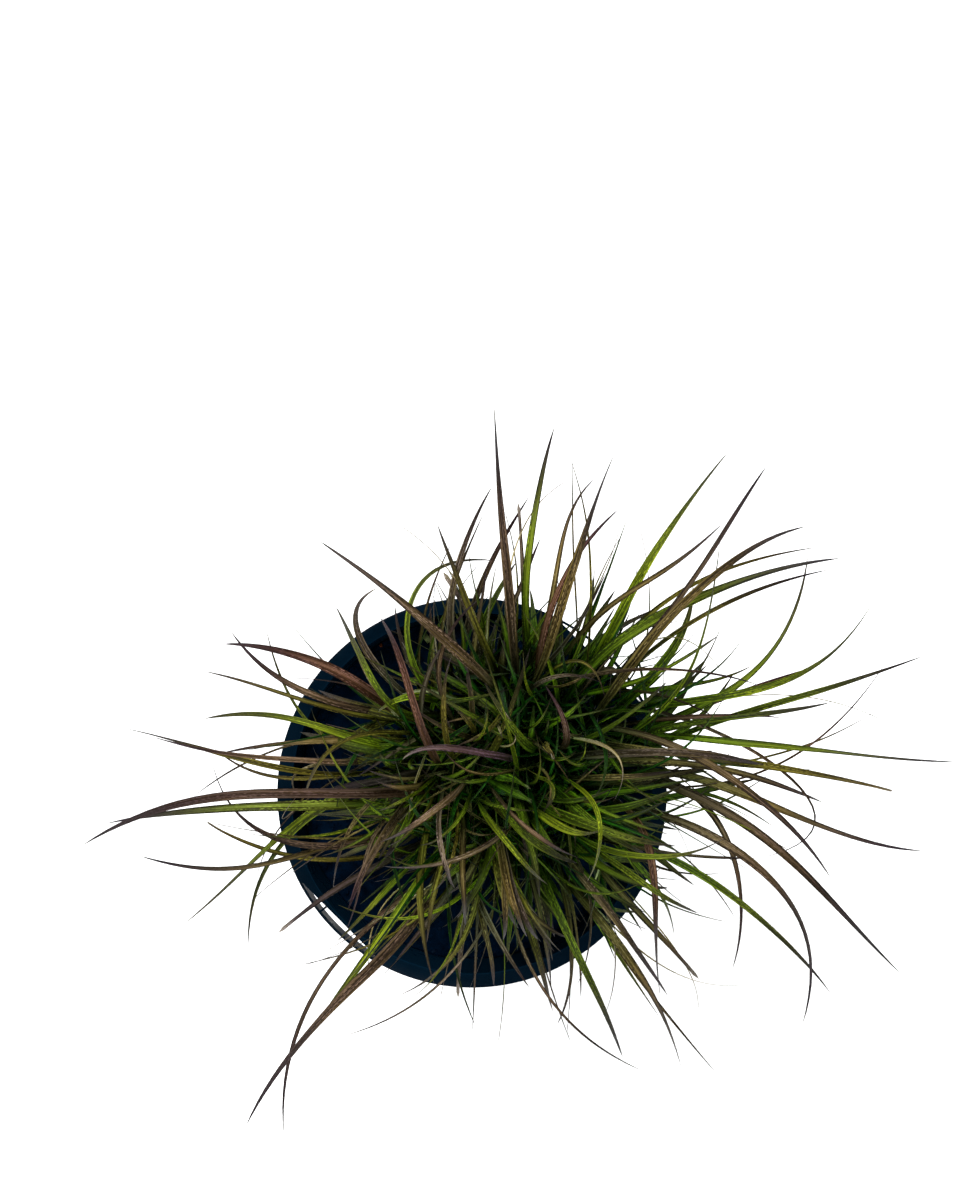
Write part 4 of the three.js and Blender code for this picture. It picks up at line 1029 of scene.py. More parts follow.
def add_blade(skin, blade, settings):
    """A blade's folded skin, over its ribs and under them."""
    reach = math.dist(blade.foot, blade.handle) + math.dist(blade.handle, blade.tip)
    s = np.linspace(0, 1, BLADE_RINGS if reach > SHORT_LENGTH else SHORT_RINGS) ** RING_POWER
    if blade.ending == "curl":
        s = np.concatenate([s[s < CURL_START], np.linspace(CURL_START, 1, CURL_RINGS)])
    across, face = twisted(blade, s, *blade.frames(s))
    middle = strayed(blade, s, settings.sway * reach)
    if blade.ending == "curl":
        middle, face = curled(middle, across, face, int((s < CURL_START).sum()))
    half = blade.widths(s) / 2
    if blade.ending == "blunt":
        blunt = blade.width / 2 * BLUNT_SHARE * np.clip((1 - s) / BLUNT_LENGTH, 0, 1)
        half = np.maximum(half, blunt)
    half = np.maximum(half, TIP_HALF * np.clip((1 - s) / TIP_POINT, TIP_LEAST, 1))
    fold = settings.fold * (1 - TIP_FLATTENS * np.clip(s * FLATTENING, 0, 1))
    thick = np.minimum(settings.thickness / MM, half * MOST_THICKNESS)[:, None, None]
    reach_out = (half * np.cos(fold))[:, None, None]
    reach_up = (half * np.sin(fold))[:, None, None]
    shares = np.concatenate([TOP_SHARES, UNDER_SHARES])
    out = across[:, None] * (shares[:, None] * reach_out)
    up = abs(shares)[:, None] ** EDGE_RISE * reach_up
    sunk = (1 - (1 - EDGE_THICKNESS) * abs(UNDER_SHARES))[:, None] * thick
    up[:, len(TOP_SHARES):] -= sunk
    corners = (middle[:, None] + out + face[:, None] * up).reshape(-1, 3)
    sides = len(shares)
    tint, stripe = blade_tints(blade, s)
    side = np.tile(shares, len(s))
    run = np.concatenate([[0], np.cumsum(np.linalg.norm(np.diff(middle, axis=0), axis=1))])
    start = [step * (blade.seed % places) for step, places in zip(GRAIN_STEP, GRAIN_PLACES)]
    skin.add(
        corners, tube_faces(len(s), sides),
        tint=np.repeat(tint, sides, axis=0), stripe=np.repeat(stripe, sides, axis=0), side=side,
        place=np.stack([side * blade.width / 2, np.repeat(run, sides)], 1) + start,
        own=np.full(len(corners), own_draw(blade, 8)),
    )


CANE_SIDES = 10
CANE_RINGS = 14
CANE_TOP = 0.4
SHEATH_STEP = 0.22
CANE_TINTS = ((0.30, 0.16, 0.14), (0.22, 0.30, 0.09))
CANE_STRIPE = 0.6


def add_cane(skin, stem):
    """The stem itself: a tapering cane that steps out where a blade's sheath wraps it."""
    low = -(HOLE_DEPTH - GAP) / stem.length
    share = np.linspace(low, 1, CANE_RINGS)
    sheaths = np.abs(np.modf(share * BLADES_PER_STEM)[0])
    radius = between(STEM_RADIUS, STEM_TOP_RADIUS, np.clip(share, 0, 1)) - SHEATH_STEP * sheaths
    radius[-1] *= CANE_TOP
    turn = np.linspace(0, 2 * math.pi, CANE_SIDES, endpoint=False)
    side = np.cross(stem.aim, [0, 1, 0])
    side /= np.linalg.norm(side)
    other = np.cross(stem.aim, side)
    ring = np.cos(turn)[:, None] * side + np.sin(turn)[:, None] * other
    axis = stem.base + stem.aim * stem.length * share[:, None]
    corners = (axis[:, None] + ring * radius[:, None, None]).reshape(-1, 3)
    tint = between(*(linear(stop) for stop in CANE_TINTS), np.clip(share, 0, 1)[:, None])
    tint = np.repeat(tint, CANE_SIDES, axis=0)
    around = np.tile(turn * STEM_RADIUS, CANE_RINGS)
    place = np.stack([around, np.repeat(share * stem.length, CANE_SIDES)], 1)
    none = np.zeros(len(corners))
    skin.add(
        corners, tube_faces(CANE_RINGS, CANE_SIDES),
        tint=tint, stripe=tint * CANE_STRIPE, side=none, place=place, own=none,
    )


LEFT_TINTS = ("olive", "umber", "green", "smoke", "olive", "plum", "green", "umber")
RIGHT_TINTS = ("lime", "green", "olive", "green", "green", "green", "umber", "green")
INNER_TINTS = ("shade", "green", "shade", "olive", "shade", "green", "shade", "umber", "lime")
INNER_FOOT = 0.9
INNER_LENGTH = (45, 150)
INNER_LENGTH_POWER = 1.5
INNER_WIDTH = (1.1, 3.2)
INNER_RISE = (0.98, 0.4)
INNER_RISE_POWER = 1.6
INNER_BOW = 0.8
INNER_DROOP = (0.01, 0.22)
INNER_TWIST = 2
INNER_ORDER = 40
INNER_SEED = 1000
TINT_TRAIT = 20


def fill_tint(stem, order):
    """A shorter blade's tint: the clump's right is greener than its left."""
    tints = RIGHT_TINTS if stem.base[0] > CLUMP[0] else LEFT_TINTS
    return tints[int(draw(stem.index, order, 0, TINT_TRAIT) * len(tints))]


def inner_blade(stem, order):
    """A short blade in the clump's middle."""
    chance = partial(draw, stem.index, INNER_ORDER + order, 0)
    heading = 2 * math.pi * chance(2)
    ahead = np.array([math.cos(heading), math.sin(heading)])
    foot = stem.under_skin(INNER_FOOT * chance(1), ahead)
    length = between(*INNER_LENGTH, chance(3) ** INNER_LENGTH_POWER)
    rise = between(*INNER_RISE, chance(4) ** INNER_RISE_POWER)
    reach = length * math.sqrt(1 - rise * rise)
    droop = length * between(*INNER_DROOP, chance(5))
    handle, tip = arch(foot, ahead, reach, length * rise, droop, INNER_BOW, chance)
    width = between(*INNER_WIDTH, chance(8))
    blade = Blade(foot, handle, tip, width, chance(9) - 0.5, INNER_TWIST * (chance(10) - 0.5))
    blade.tint = INNER_TINTS[int(chance(11) * len(INNER_TINTS))]
    blade.seed = INNER_SEED + order * STEM_COUNT + stem.index
    return blade


# Blades that show in the photograph and find no room as solids: thin ones, and broad ones that
# lie close over one another at the left and in the heart of the plant
THIN_BLADES = [
    LongBlade((570, 680), (585, 515), (569, 455), 340, 300, 1.6, "olive"),
    LongBlade((600, 650), (573, 492), (573, 462), 335, 300, 1.2, "umber"),
    LongBlade((530, 640), (535, 510), (568, 480), 310, 290, 1.2, "straw"),
    LongBlade((520, 680), (513, 545), (505, 512), 300, 280, 1.4, "olive"),
    LongBlade((560, 660), (600, 575), (621, 536), 295, 275, 1.2, "olive"),
    LongBlade((560, 640), (610, 560), (619, 530), 300, 290, 1.0, "straw"),
    LongBlade((505, 720), (490, 600), (497, 562), 300, 285, 2.6, "straw"),
    LongBlade((450, 720), (436, 640), (435, 582), 300, 270, 1.2, "smoke"),
    LongBlade((470, 700), (440, 560), (398, 524), 310, 275, 1.0, "straw"),
    LongBlade((450, 740), (335, 682), (288, 678), 280, 262, 1.6, "plum"),
    LongBlade((440, 750), (375, 690), (352, 640), 300, 270, 2.2, "straw"),
    LongBlade((440, 800), (345, 838), (282, 880), 300, 250, 1.6, "umber"),
    LongBlade((440, 800), (330, 838), (212, 823), 300, 240, 1.2, "olive"),
    LongBlade((440, 790), (275, 835), (257, 876), 270, 235, 1.8, "smoke"),
    LongBlade((450, 800), (300, 862), (248, 904), 280, 228, 1.4, "umber"),
    LongBlade((570, 720), (600, 670), (627, 637), 320, 300, 1.6, "plum"),
    LongBlade((600, 700), (690, 642), (722, 672), 300, 285, 1.0, "straw"),
    LongBlade((590, 770), (825, 732), (887, 660), 300, 245, 2.0, "plum"),
    LongBlade((590, 775), (825, 737), (876, 711), 300, 250, 1.8, "olive"),
    LongBlade((620, 730), (840, 704), (886, 722), 290, 250, 1.0, "straw"),
    LongBlade((600, 820), (675, 872), (722, 873), 270, 262, 1.8, "plum"),
    LongBlade((600, 830), (650, 875), (683, 903), 280, 255, 1.2, "umber"),
    LongBlade((600, 790), (672, 822), (692, 867), 300, 270, 1.0, "straw"),
    LongBlade((590, 850), (616, 950), (606, 1012), 290, 250, 1.6, "smoke"),
    LongBlade((620, 890), (700, 982), (748, 984), 250, 235, 1.2, "straw"),
    LongBlade((640, 900), (685, 965), (698, 1010), 250, 228, 1.0, "straw"),
    LongBlade((450, 840), (390, 935), (295, 966), 300, 230, 1.8, "olive"),
    LongBlade((455, 830), (385, 930), (305, 965), 300, 230, 1.2, "umber"),
    LongBlade((470, 830), (400, 905), (323, 953), 310, 240, 1.6, "straw"),
    LongBlade((440, 850), (368, 950), (376, 1000), 270, 240, 1.2, "straw"),
    LongBlade((560, 830), (592, 930), (577, 985), 300, 240, 1.8, "plum"),
    LongBlade((540, 860), (552, 990), (571, 1043), 270, 230, 1.6, "smoke"),
    LongBlade((550, 850), (570, 980), (567, 1034), 270, 235, 1.4, "plum"),
    LongBlade((480, 830), (460, 920), (440, 1000), 290, 230, 1.4, "olive"),
    LongBlade((450, 830), (462, 900), (478, 960), 300, 260, 1.8, "straw"),
    LongBlade((535, 690), (580, 660), (605, 698), 350, 330, 2.2, "olive"),
    LongBlade((560, 690), (616, 670), (619, 708), 330, 300, 2.6, "smoke"),
    LongBlade((487, 745), (503, 713), (515, 726), 352, 338, 1.8, "straw"),
    LongBlade((492, 742), (500, 729), (503, 739), 348, 338, 1.8, "straw"),
    LongBlade((530, 762), (550, 786), (541, 815), 352, 310, 2.2, "umber"),
    LongBlade((530, 758), (546, 744), (557, 760), 354, 346, 4.5, "olive", "curl"),
    LongBlade((508, 700), (550, 677), (600, 682), 350, 332, 2.8, "smoke"),
    LongBlade((404, 802), (414, 768), (427, 766), 322, 305, 2.6, "green"),
    LongBlade((497, 736), (470, 719), (440, 724), 348, 334, 2.0, "umber"),
    LongBlade((532, 760), (495, 773), (442, 748), 360, 346, 2.0, "umber"),
    LongBlade((500, 760), (509, 746), (515, 734), 354, 350, 1.6, "straw"),
    LongBlade((490, 752), (472, 726), (449, 703), 348, 330, 3.4, "olive"),
    LongBlade((450, 765), (420, 770), (408, 825), 338, 300, 1.6, "straw"),
    LongBlade((335, 778), (312, 765), (298, 795), 272, 250, 2.0, "straw"),
    LongBlade((600, 850), (594, 880), (577, 902), 300, 270, 1.8, "straw"),
    LongBlade((484, 762), (510, 779), (531, 789), 338, 352, 6.5, "deep", "blunt"),
    LongBlade((480, 772), (509, 790), (535, 803), 330, 344, 7.5, "deep", "blunt"),
    LongBlade((460, 750), (375, 748), (300, 732), 292, 258, 9, "green"),
    LongBlade((455, 760), (372, 758), (296, 760), 280, 248, 8, "olive"),
    LongBlade((455, 762), (385, 778), (318, 793), 308, 280, 8.5, "dusk"),
    LongBlade((455, 785), (380, 808), (300, 815), 285, 248, 7.5, "lime"),
    LongBlade((455, 735), (385, 712), (318, 690), 290, 255, 7.5, "olive"),
    LongBlade((455, 800), (400, 830), (330, 862), 290, 252, 7, "green"),
    LongBlade((447, 690), (415, 696), (378, 712), 325, 300, 4.6, "lime", "dry"),
    LongBlade((430, 740), (423, 692), (449, 640), 338, 318, 3.6, "smoke"),
]
THIN_SEED = 2000
# How much broader some rows look in the photograph than their solids have room for
BROADER = {0: 1.35, 3: 1.5}


def dressed_stems(settings):
    """Every stem with all its blades: those of the solids, those that the solids have no room for
    and the short ones at its foot."""
    stems, missed = grow_stems()
    for stem in stems:
        for blade in stem.blades:
            blade.width *= BROADER.get(blade.seed, 1)
    for number, row in enumerate(missed + THIN_BLADES):
        stem = stems_near(stems, row.root)[0]
        blade = long_blade(row, THIN_SEED + number, stem, 0)
        blade.tint, blade.ending, blade.seed = row.tint, row.ending, THIN_SEED + number
        stem.blades.append(blade)
    for stem in stems:
        stem.blades += [inner_blade(stem, order) for order in range(settings.inner_blades)]
    return stems


# Pot and soil

CORNER_SHARE = 0.4
CORNER_STEPS = 4
SHARP = math.radians(35)
DRAIN_SIDES = 40


def wall_outside(height):
    return BASE_RADIUS + TAPER * height + (STACKING_STEP if height > STACKING_HEIGHT else 0)


def wall_inside(height):
    return wall_outside(height) - WALL


def pot_profile():
    """The pot's section, from the middle of its base out, up and back down inside."""
    under_web = POT_HEIGHT - WEB
    skirt_foot = POT_HEIGHT - SKIRT_DROP
    return [
        (0, 0),
        (BASE_RADIUS, 0),
        (wall_outside(STACKING_HEIGHT - EDGE), STACKING_HEIGHT - EDGE),
        (wall_outside(STACKING_HEIGHT + EDGE), STACKING_HEIGHT + EDGE),
        (wall_outside(under_web), under_web),
        (RIM_RADIUS - SKIRT, under_web),
        (RIM_RADIUS - SKIRT, skirt_foot),
        (RIM_RADIUS, skirt_foot),
        (RIM_RADIUS, POT_HEIGHT),
        (wall_inside(POT_HEIGHT), POT_HEIGHT),
        (wall_inside(STACKING_HEIGHT + EDGE), STACKING_HEIGHT + EDGE),
        (wall_inside(STACKING_HEIGHT - EDGE), STACKING_HEIGHT - EDGE),
        (wall_inside(FLOOR), FLOOR),
        (0, FLOOR),
    ]


def rounded(profile, radius):
    """A section with each of its inner corners turned into an arc."""
    points = [np.array(point, float) for point in profile]
    smooth = [points[0]]
    for before, corner, after in zip(points, points[1:], points[2:]):
        back, on = before - corner, after - corner
        room = min(np.linalg.norm(back), np.linalg.norm(on)) * CORNER_SHARE
        cut = min(radius, room)
        start = corner + back / np.linalg.norm(back) * cut
        stop = corner + on / np.linalg.norm(on) * cut
        for t in np.linspace(0, 1, CORNER_STEPS):
            smooth.append((1 - t) ** 2 * start + 2 * t * (1 - t) * corner + t * t * stop)
    smooth.append(points[-1])
    return smooth


def turned(profile, sides):
    """A closed solid of revolution from a section that starts and ends on the axis."""
    spin = whole_turn(sides)
    rings = [np.column_stack([r * spin, np.full(sides, z)]) for r, z in profile[1:-1]]
    return fanned(rings, (0, 0, profile[0][1]), (0, 0, profile[-1][1]))


def tool(name, corners, faces):
    """A solid that only cuts another, in millimetres in the row's own frame."""
    mesh = bpy.data.meshes.new(name)
    mesh.from_pydata([tuple(np.array(corner) * MM) for corner in corners], [], faces)
    piece = bpy.data.objects.new(name, mesh)
    bpy.context.scene.collection.objects.link(piece)
    return piece


def box_tool(name, centre, size, turn):
    made = bmesh.new()
    bmesh.ops.create_cube(made, size=1)
    shape = Matrix.Diagonal((*(np.array(size) * MM), 1))
    place = Matrix.Rotation(turn, 4, "Z") @ Matrix.Translation(Vector(centre) * MM)
    bmesh.ops.transform(made, matrix=place @ shape, verts=made.verts)
    piece = tool(name, [], [])
    made.to_mesh(piece.data)
    made.free()
    return piece


def round_tool(name, radius, low, high, centre, sides):
    corners, faces = turned([(0, low), (radius, low), (radius, high), (0, high)], sides)
    return tool(name, corners + np.array([*centre, 0]), faces)


def carve(piece, how, others):
    """A boolean of a piece with others, which are then removed."""
    for other in others:
        step = piece.modifiers.new("carve", "BOOLEAN")
        step.operation, step.solver, step.object = how, "EXACT", other
    graph = bpy.context.evaluated_depsgraph_get()
    made = bpy.data.meshes.new_from_object(piece.evaluated_get(graph))
    piece.modifiers.clear()
    piece.data = made
    for other in others:
        bpy.data.objects.remove(other)


def grip_tool(side, sides):
    """The slot of one finger grip: the rim's web beyond a straight chord, less two thin ribs."""
    level = POT_HEIGHT - WEB / 2
    slot = round_tool("grip", GRIP_INNER_RADIUS, level - WEB, level + WEB, (0, 0), sides)
    beyond = (side * (GRIP_CHORD + RIM_RADIUS / 2), 0, level)
    block = (RIM_RADIUS, RIM_RADIUS, GRIP_BLOCK_HEIGHT)
    carve(slot, "INTERSECT", [box_tool("block", beyond, block, 0)])
    centre = (side * RIM_RADIUS, 0, level)
    size = (RIM_RADIUS, GRIP_RIB, GRIP_RIB_HEIGHT)
    turns = [math.radians(turn) for turn in (-GRIP_RIB_ANGLE, GRIP_RIB_ANGLE)]
    carve(slot, "DIFFERENCE", [box_tool("rib", centre, size, turn) for turn in turns])
    return slot


def pot_mesh(settings):
    corners, faces = turned(rounded(pot_profile(), settings.rounding / MM), settings.sides)
    pot = tool("pot_blank", corners, faces)
    drains = []
    for number in range(DRAIN_COUNT):
        turn = (number + 0.5) * 2 * math.pi / DRAIN_COUNT
        centre = (DRAIN_CIRCLE * math.cos(turn), DRAIN_CIRCLE * math.sin(turn))
        drains.append(round_tool("drain", DRAIN_RADIUS, -FLOOR, FLOOR * 2, centre, DRAIN_SIDES))
    carve(pot, "DIFFERENCE", [grip_tool(-1, settings.sides), grip_tool(1, settings.sides), *drains])
    mesh = pot.data
    bpy.data.objects.remove(pot)
    mesh.set_sharp_from_angle(angle=SHARP)
    return mesh


SOIL_RINGS = 64
SOIL_SIDES = 200
SOIL_ROUGHNESS = 1.1
SOIL_LUMPS = (9, 4, 1.8)
SOIL_SEED = 11
HASH_STEPS = (127.1, 311.7, 74.7)
HASH_SCALE = 43758.5453
# Crumbs: how small they get, how far they stay from the wall, their least and greatest shares of
# the radius along, across and up, how lumpy they are, and how far they stand out of the mix
CRUMB_SMALLEST = 0.28
CRUMB_POWER = 3
CRUMB_TINT_POWER = 2
CRUMB_MARGIN = 2
CRUMB_SHAPE = ((0.8, 0.45, 0.35), (1.2, 0.9, 0.7))
CRUMB_LUMPS = (0.72, 1.15)
CRUMB_TURN = 6.3
CRUMB_OUT = 0.15
CHIP_OUT = 0.3
# Painted light: how the mix is made paler towards the wall, to lift the shade there
WALL_LIGHT_FROM = 88
WALL_LIGHT_WIDTH = 14
WALL_LIGHT_MORE = 0.75
# Larger crumbs and chips that the photograph shows: their pixel, radius in millimetres and colour
CHIPS = [
    ((427, 638), 4.2, (0.34, 0.38, 0.24)),
    ((434, 643), 2.8, (0.28, 0.33, 0.20)),
    ((381, 645), 1.8, (0.30, 0.17, 0.11)),
    ((331, 892), 2.8, (0.33, 0.27, 0.15)),
    ((307, 824), 1.6, (0.22, 0.24, 0.15)),
    ((372, 655), 1.3, (0.16, 0.15, 0.16)),
]


def hash_noise(x, y, size, seed):
    """Smooth noise from -1 to 1 with lumps of one size."""

    def corner(i, j):
        across, along, between_seeds = HASH_STEPS
        mix = np.sin(i * across + j * along + seed * between_seeds) * HASH_SCALE
        return 2 * (mix - np.floor(mix)) - 1

    i, j = np.floor(x / size), np.floor(y / size)
    u, v = x / size - i, y / size - j
    u, v = u * u * (3 - 2 * u), v * v * (3 - 2 * v)
    low = between(corner(i, j), corner(i + 1, j), u)
    return between(low, between(corner(i, j + 1), corner(i + 1, j + 1), u), v)


def rough_soil(x, y):
    """The soil's surface with its own roughness, in lumps of several sizes."""
    rough = sum(hash_noise(x, y, size, size) * size for size in SOIL_LUMPS) / SOIL_LUMPS[0]
    return soil_height(x, y) + SOIL_ROUGHNESS * rough


def wall_light_lift(x, y):
    """Painted light: how much paler the mix is made towards the pot's wall, to lift its shade."""
    return 1 + WALL_LIGHT_MORE * np.clip((np.hypot(x, y) - WALL_LIGHT_FROM) / WALL_LIGHT_WIDTH, 0, 1)


def soil_mesh(settings):
    """The potting mix: a closed body with a rough top, and loose crumbs on it."""
    skin = Skin()
    foot = FLOOR + GAP
    brim = wall_inside(SOIL_LEVEL) - GAP * 2
    spin = whole_turn(SOIL_SIDES)
    rings = []
    for z in (foot, STACKING_HEIGHT - EDGE, SOIL_LEVEL - CROWN_RISE):
        rings.append(np.column_stack([(wall_inside(z) - GAP) * spin, np.full(SOIL_SIDES, z)]))
    for radius in np.linspace(brim, brim / SOIL_RINGS, SOIL_RINGS):
        x, y = (radius * spin).T
        rings.append(np.column_stack([x, y, rough_soil(x, y)]))
    corners, faces = fanned(rings, (0, 0, foot), (0, 0, rough_soil(0.0, 0.0)))
    # The mix's tint, made paler towards the wall as painted light
    skin.add(corners, faces, tint=wall_light_lift(*corners.T[:2])[:, None] * settings.damp)

    random = np.random.default_rng(SOIL_SEED)
    ball = bmesh.new()
    bmesh.ops.create_icosphere(ball, subdivisions=1, radius=1)
    shell = np.array([vert.co for vert in ball.verts])
    shell_faces = [tuple(vert.index for vert in face.verts) for face in ball.faces]
    ball.free()

    def add_crumb(x, y, size, out, tint):
        radii = size * random.uniform(*CRUMB_SHAPE)
        lumpy = shell * random.uniform(*CRUMB_LUMPS, (len(shell), 1)) * radii
        turn = random.uniform(0, CRUMB_TURN)
        spun = lumpy @ np.array(Matrix.Rotation(turn, 3, Vector(random.normal(size=3))))
        spot = (x, y, rough_soil(x, y) + size * out)
        skin.add(spun + spot, shell_faces, tint=np.tile(tint, (len(shell), 1)))

    damp, crumb = np.array(settings.damp), np.array(settings.crumb)
    largest = settings.crumb_size / MM
    for _ in range(settings.crumbs):
        radius = (brim - CRUMB_MARGIN) * math.sqrt(random.uniform())
        angle = random.uniform(0, 2 * math.pi)
        x, y = radius * math.cos(angle), radius * math.sin(angle)
        size = largest * between(CRUMB_SMALLEST, 1, random.uniform() ** CRUMB_POWER)
        tint = between(damp, crumb, random.uniform() ** CRUMB_TINT_POWER)
        # The crumbs take the same painted light towards the wall
        add_crumb(x, y, size, CRUMB_OUT, tint * wall_light_lift(x, y))
    for pixel, size, tint in CHIPS:
        x, y, _ = under_pixel(pixel, SOIL_LEVEL)
        add_crumb(x, y, size, CHIP_OUT, linear(tint))
    return skin.mesh("potting_mix")


# Materials

def node(tree, kind, inputs=None, **settings):
    """A shader node with its settings, and its inputs linked or set."""
    made = tree.nodes.new("ShaderNode" + kind)
    for name, value in settings.items():
        setattr(made, name, value)
    for name, value in (inputs or {}).items():
        socket = made.inputs[name]
        if isinstance(value, bpy.types.NodeSocket):
            tree.links.new(value, socket)
        elif socket.type == "RGBA" and len(value) == 3:
            socket.default_value = (*value, 1)
        else:
            socket.default_value = value
    return made


def sums(tree, operation, *values):
    return node(tree, "Math", dict(enumerate(values)), operation=operation).outputs[0]


def attribute(tree, name, output):
    """One of the values that each corner of a skin holds."""
    return node(tree, "Attribute", attribute_name=name).outputs[output]


def bump(tree, shader, strength, distance, height):
    made = node(tree, "Bump", {"Strength": strength, "Distance": distance, "Height": height})
    tree.links.new(made.outputs["Normal"], shader.inputs["Normal"])


def ramp(tree, value, low, high, to_low=0.0, to_high=1.0):
    """A value spread from one range to another, and held at its ends."""
    inputs = {
        "Value": value, "From Min": low, "From Max": high, "To Min": to_low, "To Max": to_high,
    }
    return node(tree, "MapRange", inputs).outputs["Result"]


# A Mix node's sockets for its factor and its two colours, and for the colour that it gives
MIX_INPUTS = (0, 6, 7)
MIX_OUTPUT = 2


def blend(tree, factor, a, b, how="MIX"):
    """Two colours mixed by a factor."""
    made = node(tree, "Mix", data_type="RGBA", blend_type=how)
    for index, value in zip(MIX_INPUTS, (factor, a, b)):
        socket = made.inputs[index]
        if isinstance(value, bpy.types.NodeSocket):
            tree.links.new(value, socket)
        else:
            socket.default_value = value if socket.type == "VALUE" else (*value, 1)
    return made.outputs[MIX_OUTPUT]


def noise(tree, vector, scale, detail, roughness):
    inputs = {"Vector": vector, "Scale": scale, "Detail": detail, "Roughness": roughness}
    return node(tree, "TexNoise", inputs).outputs["Fac"]


def material(name, **constants):
    """A material with a Principled shader, whose constant inputs are set on its own sockets."""
    made = bpy.data.materials.new(name)
    made.use_nodes = True
    shader = made.node_tree.nodes["Principled BSDF"]
    for key, value in constants.items():
        shader.inputs[key.replace("_", " ")].default_value = value
    return made, made.node_tree, shader


# Detail and roughness of the grain, and the noise between which it goes from none to all
GRIT = (2.0, 0.6)
GRIT_RANGE = (0.3, 0.7)
MOTTLE = (5.0, 0.6)
MOTTLE_RANGE = (0.32, 0.68)


def grain_group():
    """Fine grit and broad mottling over a surface, shared by the pot and the soil."""
    made = bpy.data.node_groups.new("Grain", "ShaderNodeTree")
    made.interface.new_socket("Vector", in_out="INPUT", socket_type="NodeSocketVector")
    for name, default in (("Grit scale", 900.0), ("Mottle scale", 60.0)):
        socket = made.interface.new_socket(name, in_out="INPUT", socket_type="NodeSocketFloat")
        socket.default_value = default
    for name in ("Grit", "Mottle"):
        made.interface.new_socket(name, in_out="OUTPUT", socket_type="NodeSocketFloat")
    given = made.nodes.new("NodeGroupInput").outputs
    result = made.nodes.new("NodeGroupOutput").inputs
    grit = noise(made, given["Vector"], given["Grit scale"], *GRIT)
    mottle = noise(made, given["Vector"], given["Mottle scale"], *MOTTLE)
    made.links.new(ramp(made, grit, *GRIT_RANGE), result["Grit"])
    made.links.new(ramp(made, mottle, *MOTTLE_RANGE), result["Mottle"])
    return made


def grain(tree, grit_scale, mottle_scale):
    """The grain group placed in a material, in the piece's own coordinates."""
    group = bpy.data.node_groups.get("Grain") or grain_group()
    made = tree.nodes.new("ShaderNodeGroup")
    made.node_tree = group
    tree.links.new(node(tree, "TexCoord").outputs["Object"], made.inputs["Vector"])
    made.inputs["Grit scale"].default_value = grit_scale
    made.inputs["Mottle scale"].default_value = mottle_scale
    return made.outputs["Grit"], made.outputs["Mottle"]


# Grit and mottle a metre of the pot and the soil, and radians a metre of the turning marks
POT_GRAIN = (1400.0, 38.0)
SOIL_GRAIN = (1100.0, 160.0)
TURNING_MARKS = 5200.0
# Pot: the dust by how far a face looks up, the painted light on the inner wall by how far it looks
# away from the axis, how much of the dust's colour the grit shows, and the roughness by the mottle
LYING = (0.2, 0.95, 0.35, 1.0)
INNER_WALL_LIGHT = (-0.05, 0.0, 1.0, 0.0)
GRIT_FILM = 0.25
POT_ROUGHNESS = (0, 1, 0.22, 0.38)
# Pot: the relief of its turning marks and its grit, and the bumps' strength and height
MARK_RELIEF = 0.3
GRIT_RELIEF = 0.5
POT_BUMP = (0.25, 0.0002)
# Soil: its tint in its pores and on its crumbs, its roughness by the grit, and its bumps
SOIL_WEAR = ((0.45, 0.45, 0.45), (1.5, 1.5, 1.5))
SOIL_GLINT = (0, 1, 0.6, 0.95)
SOIL_BUMP = (0.6, 0.0008)


def pot_material(settings):
    """Moulded plastic with fine turning marks, with dust and dry water marks on the faces that look
    up, and their pale colour laid in full over the inside of the wall as painted light."""
    made, tree, shader = material("moulded_plastic", IOR=1.49, Specular_IOR_Level=0.015)
    grit, mottle = grain(tree, *POT_GRAIN)
    spot = node(tree, "SeparateXYZ", {0: node(tree, "TexCoord").outputs["Object"]}).outputs
    plan = node(tree, "CombineXYZ", {0: spot[0], 1: spot[1]}).outputs[0]
    radius = node(tree, "VectorMath", {0: plan}, operation="LENGTH").outputs["Value"]
    marks = sums(tree, "SINE", sums(tree, "MULTIPLY", radius, TURNING_MARKS))
    normal = node(tree, "NewGeometry").outputs["Normal"]
    lying = ramp(tree, node(tree, "SeparateXYZ", {0: normal}).outputs[2], *LYING)
    # Painted light: the inside of the wall takes the film's pale colour in full, lifting its shade
    outward = node(tree, "VectorMath", {0: plan, 1: normal}, operation="DOT_PRODUCT")
    inside = ramp(tree, outward.outputs["Value"], *INNER_WALL_LIGHT)
    dust_film_and_wall_light = sums(tree, "MULTIPLY", sums(tree, "MULTIPLY", mottle, lying), settings.dust)
    dust_film_and_wall_light = sums(tree, "MAXIMUM", dust_film_and_wall_light, inside)
    base = blend(tree, sums(tree, "MULTIPLY", grit, GRIT_FILM), settings.plastic, settings.dust_film_and_wall_light)
    tree.links.new(blend(tree, dust_film_and_wall_light, base, settings.dust_film_and_wall_light), shader.inputs["Base Color"])
    tree.links.new(ramp(tree, mottle, *POT_ROUGHNESS), shader.inputs["Roughness"])
    grooves = sums(tree, "MULTIPLY", marks, MARK_RELIEF)
    height = sums(tree, "ADD", grooves, sums(tree, "MULTIPLY", grit, GRIT_RELIEF))
    bump(tree, shader, *POT_BUMP, height)
    return made


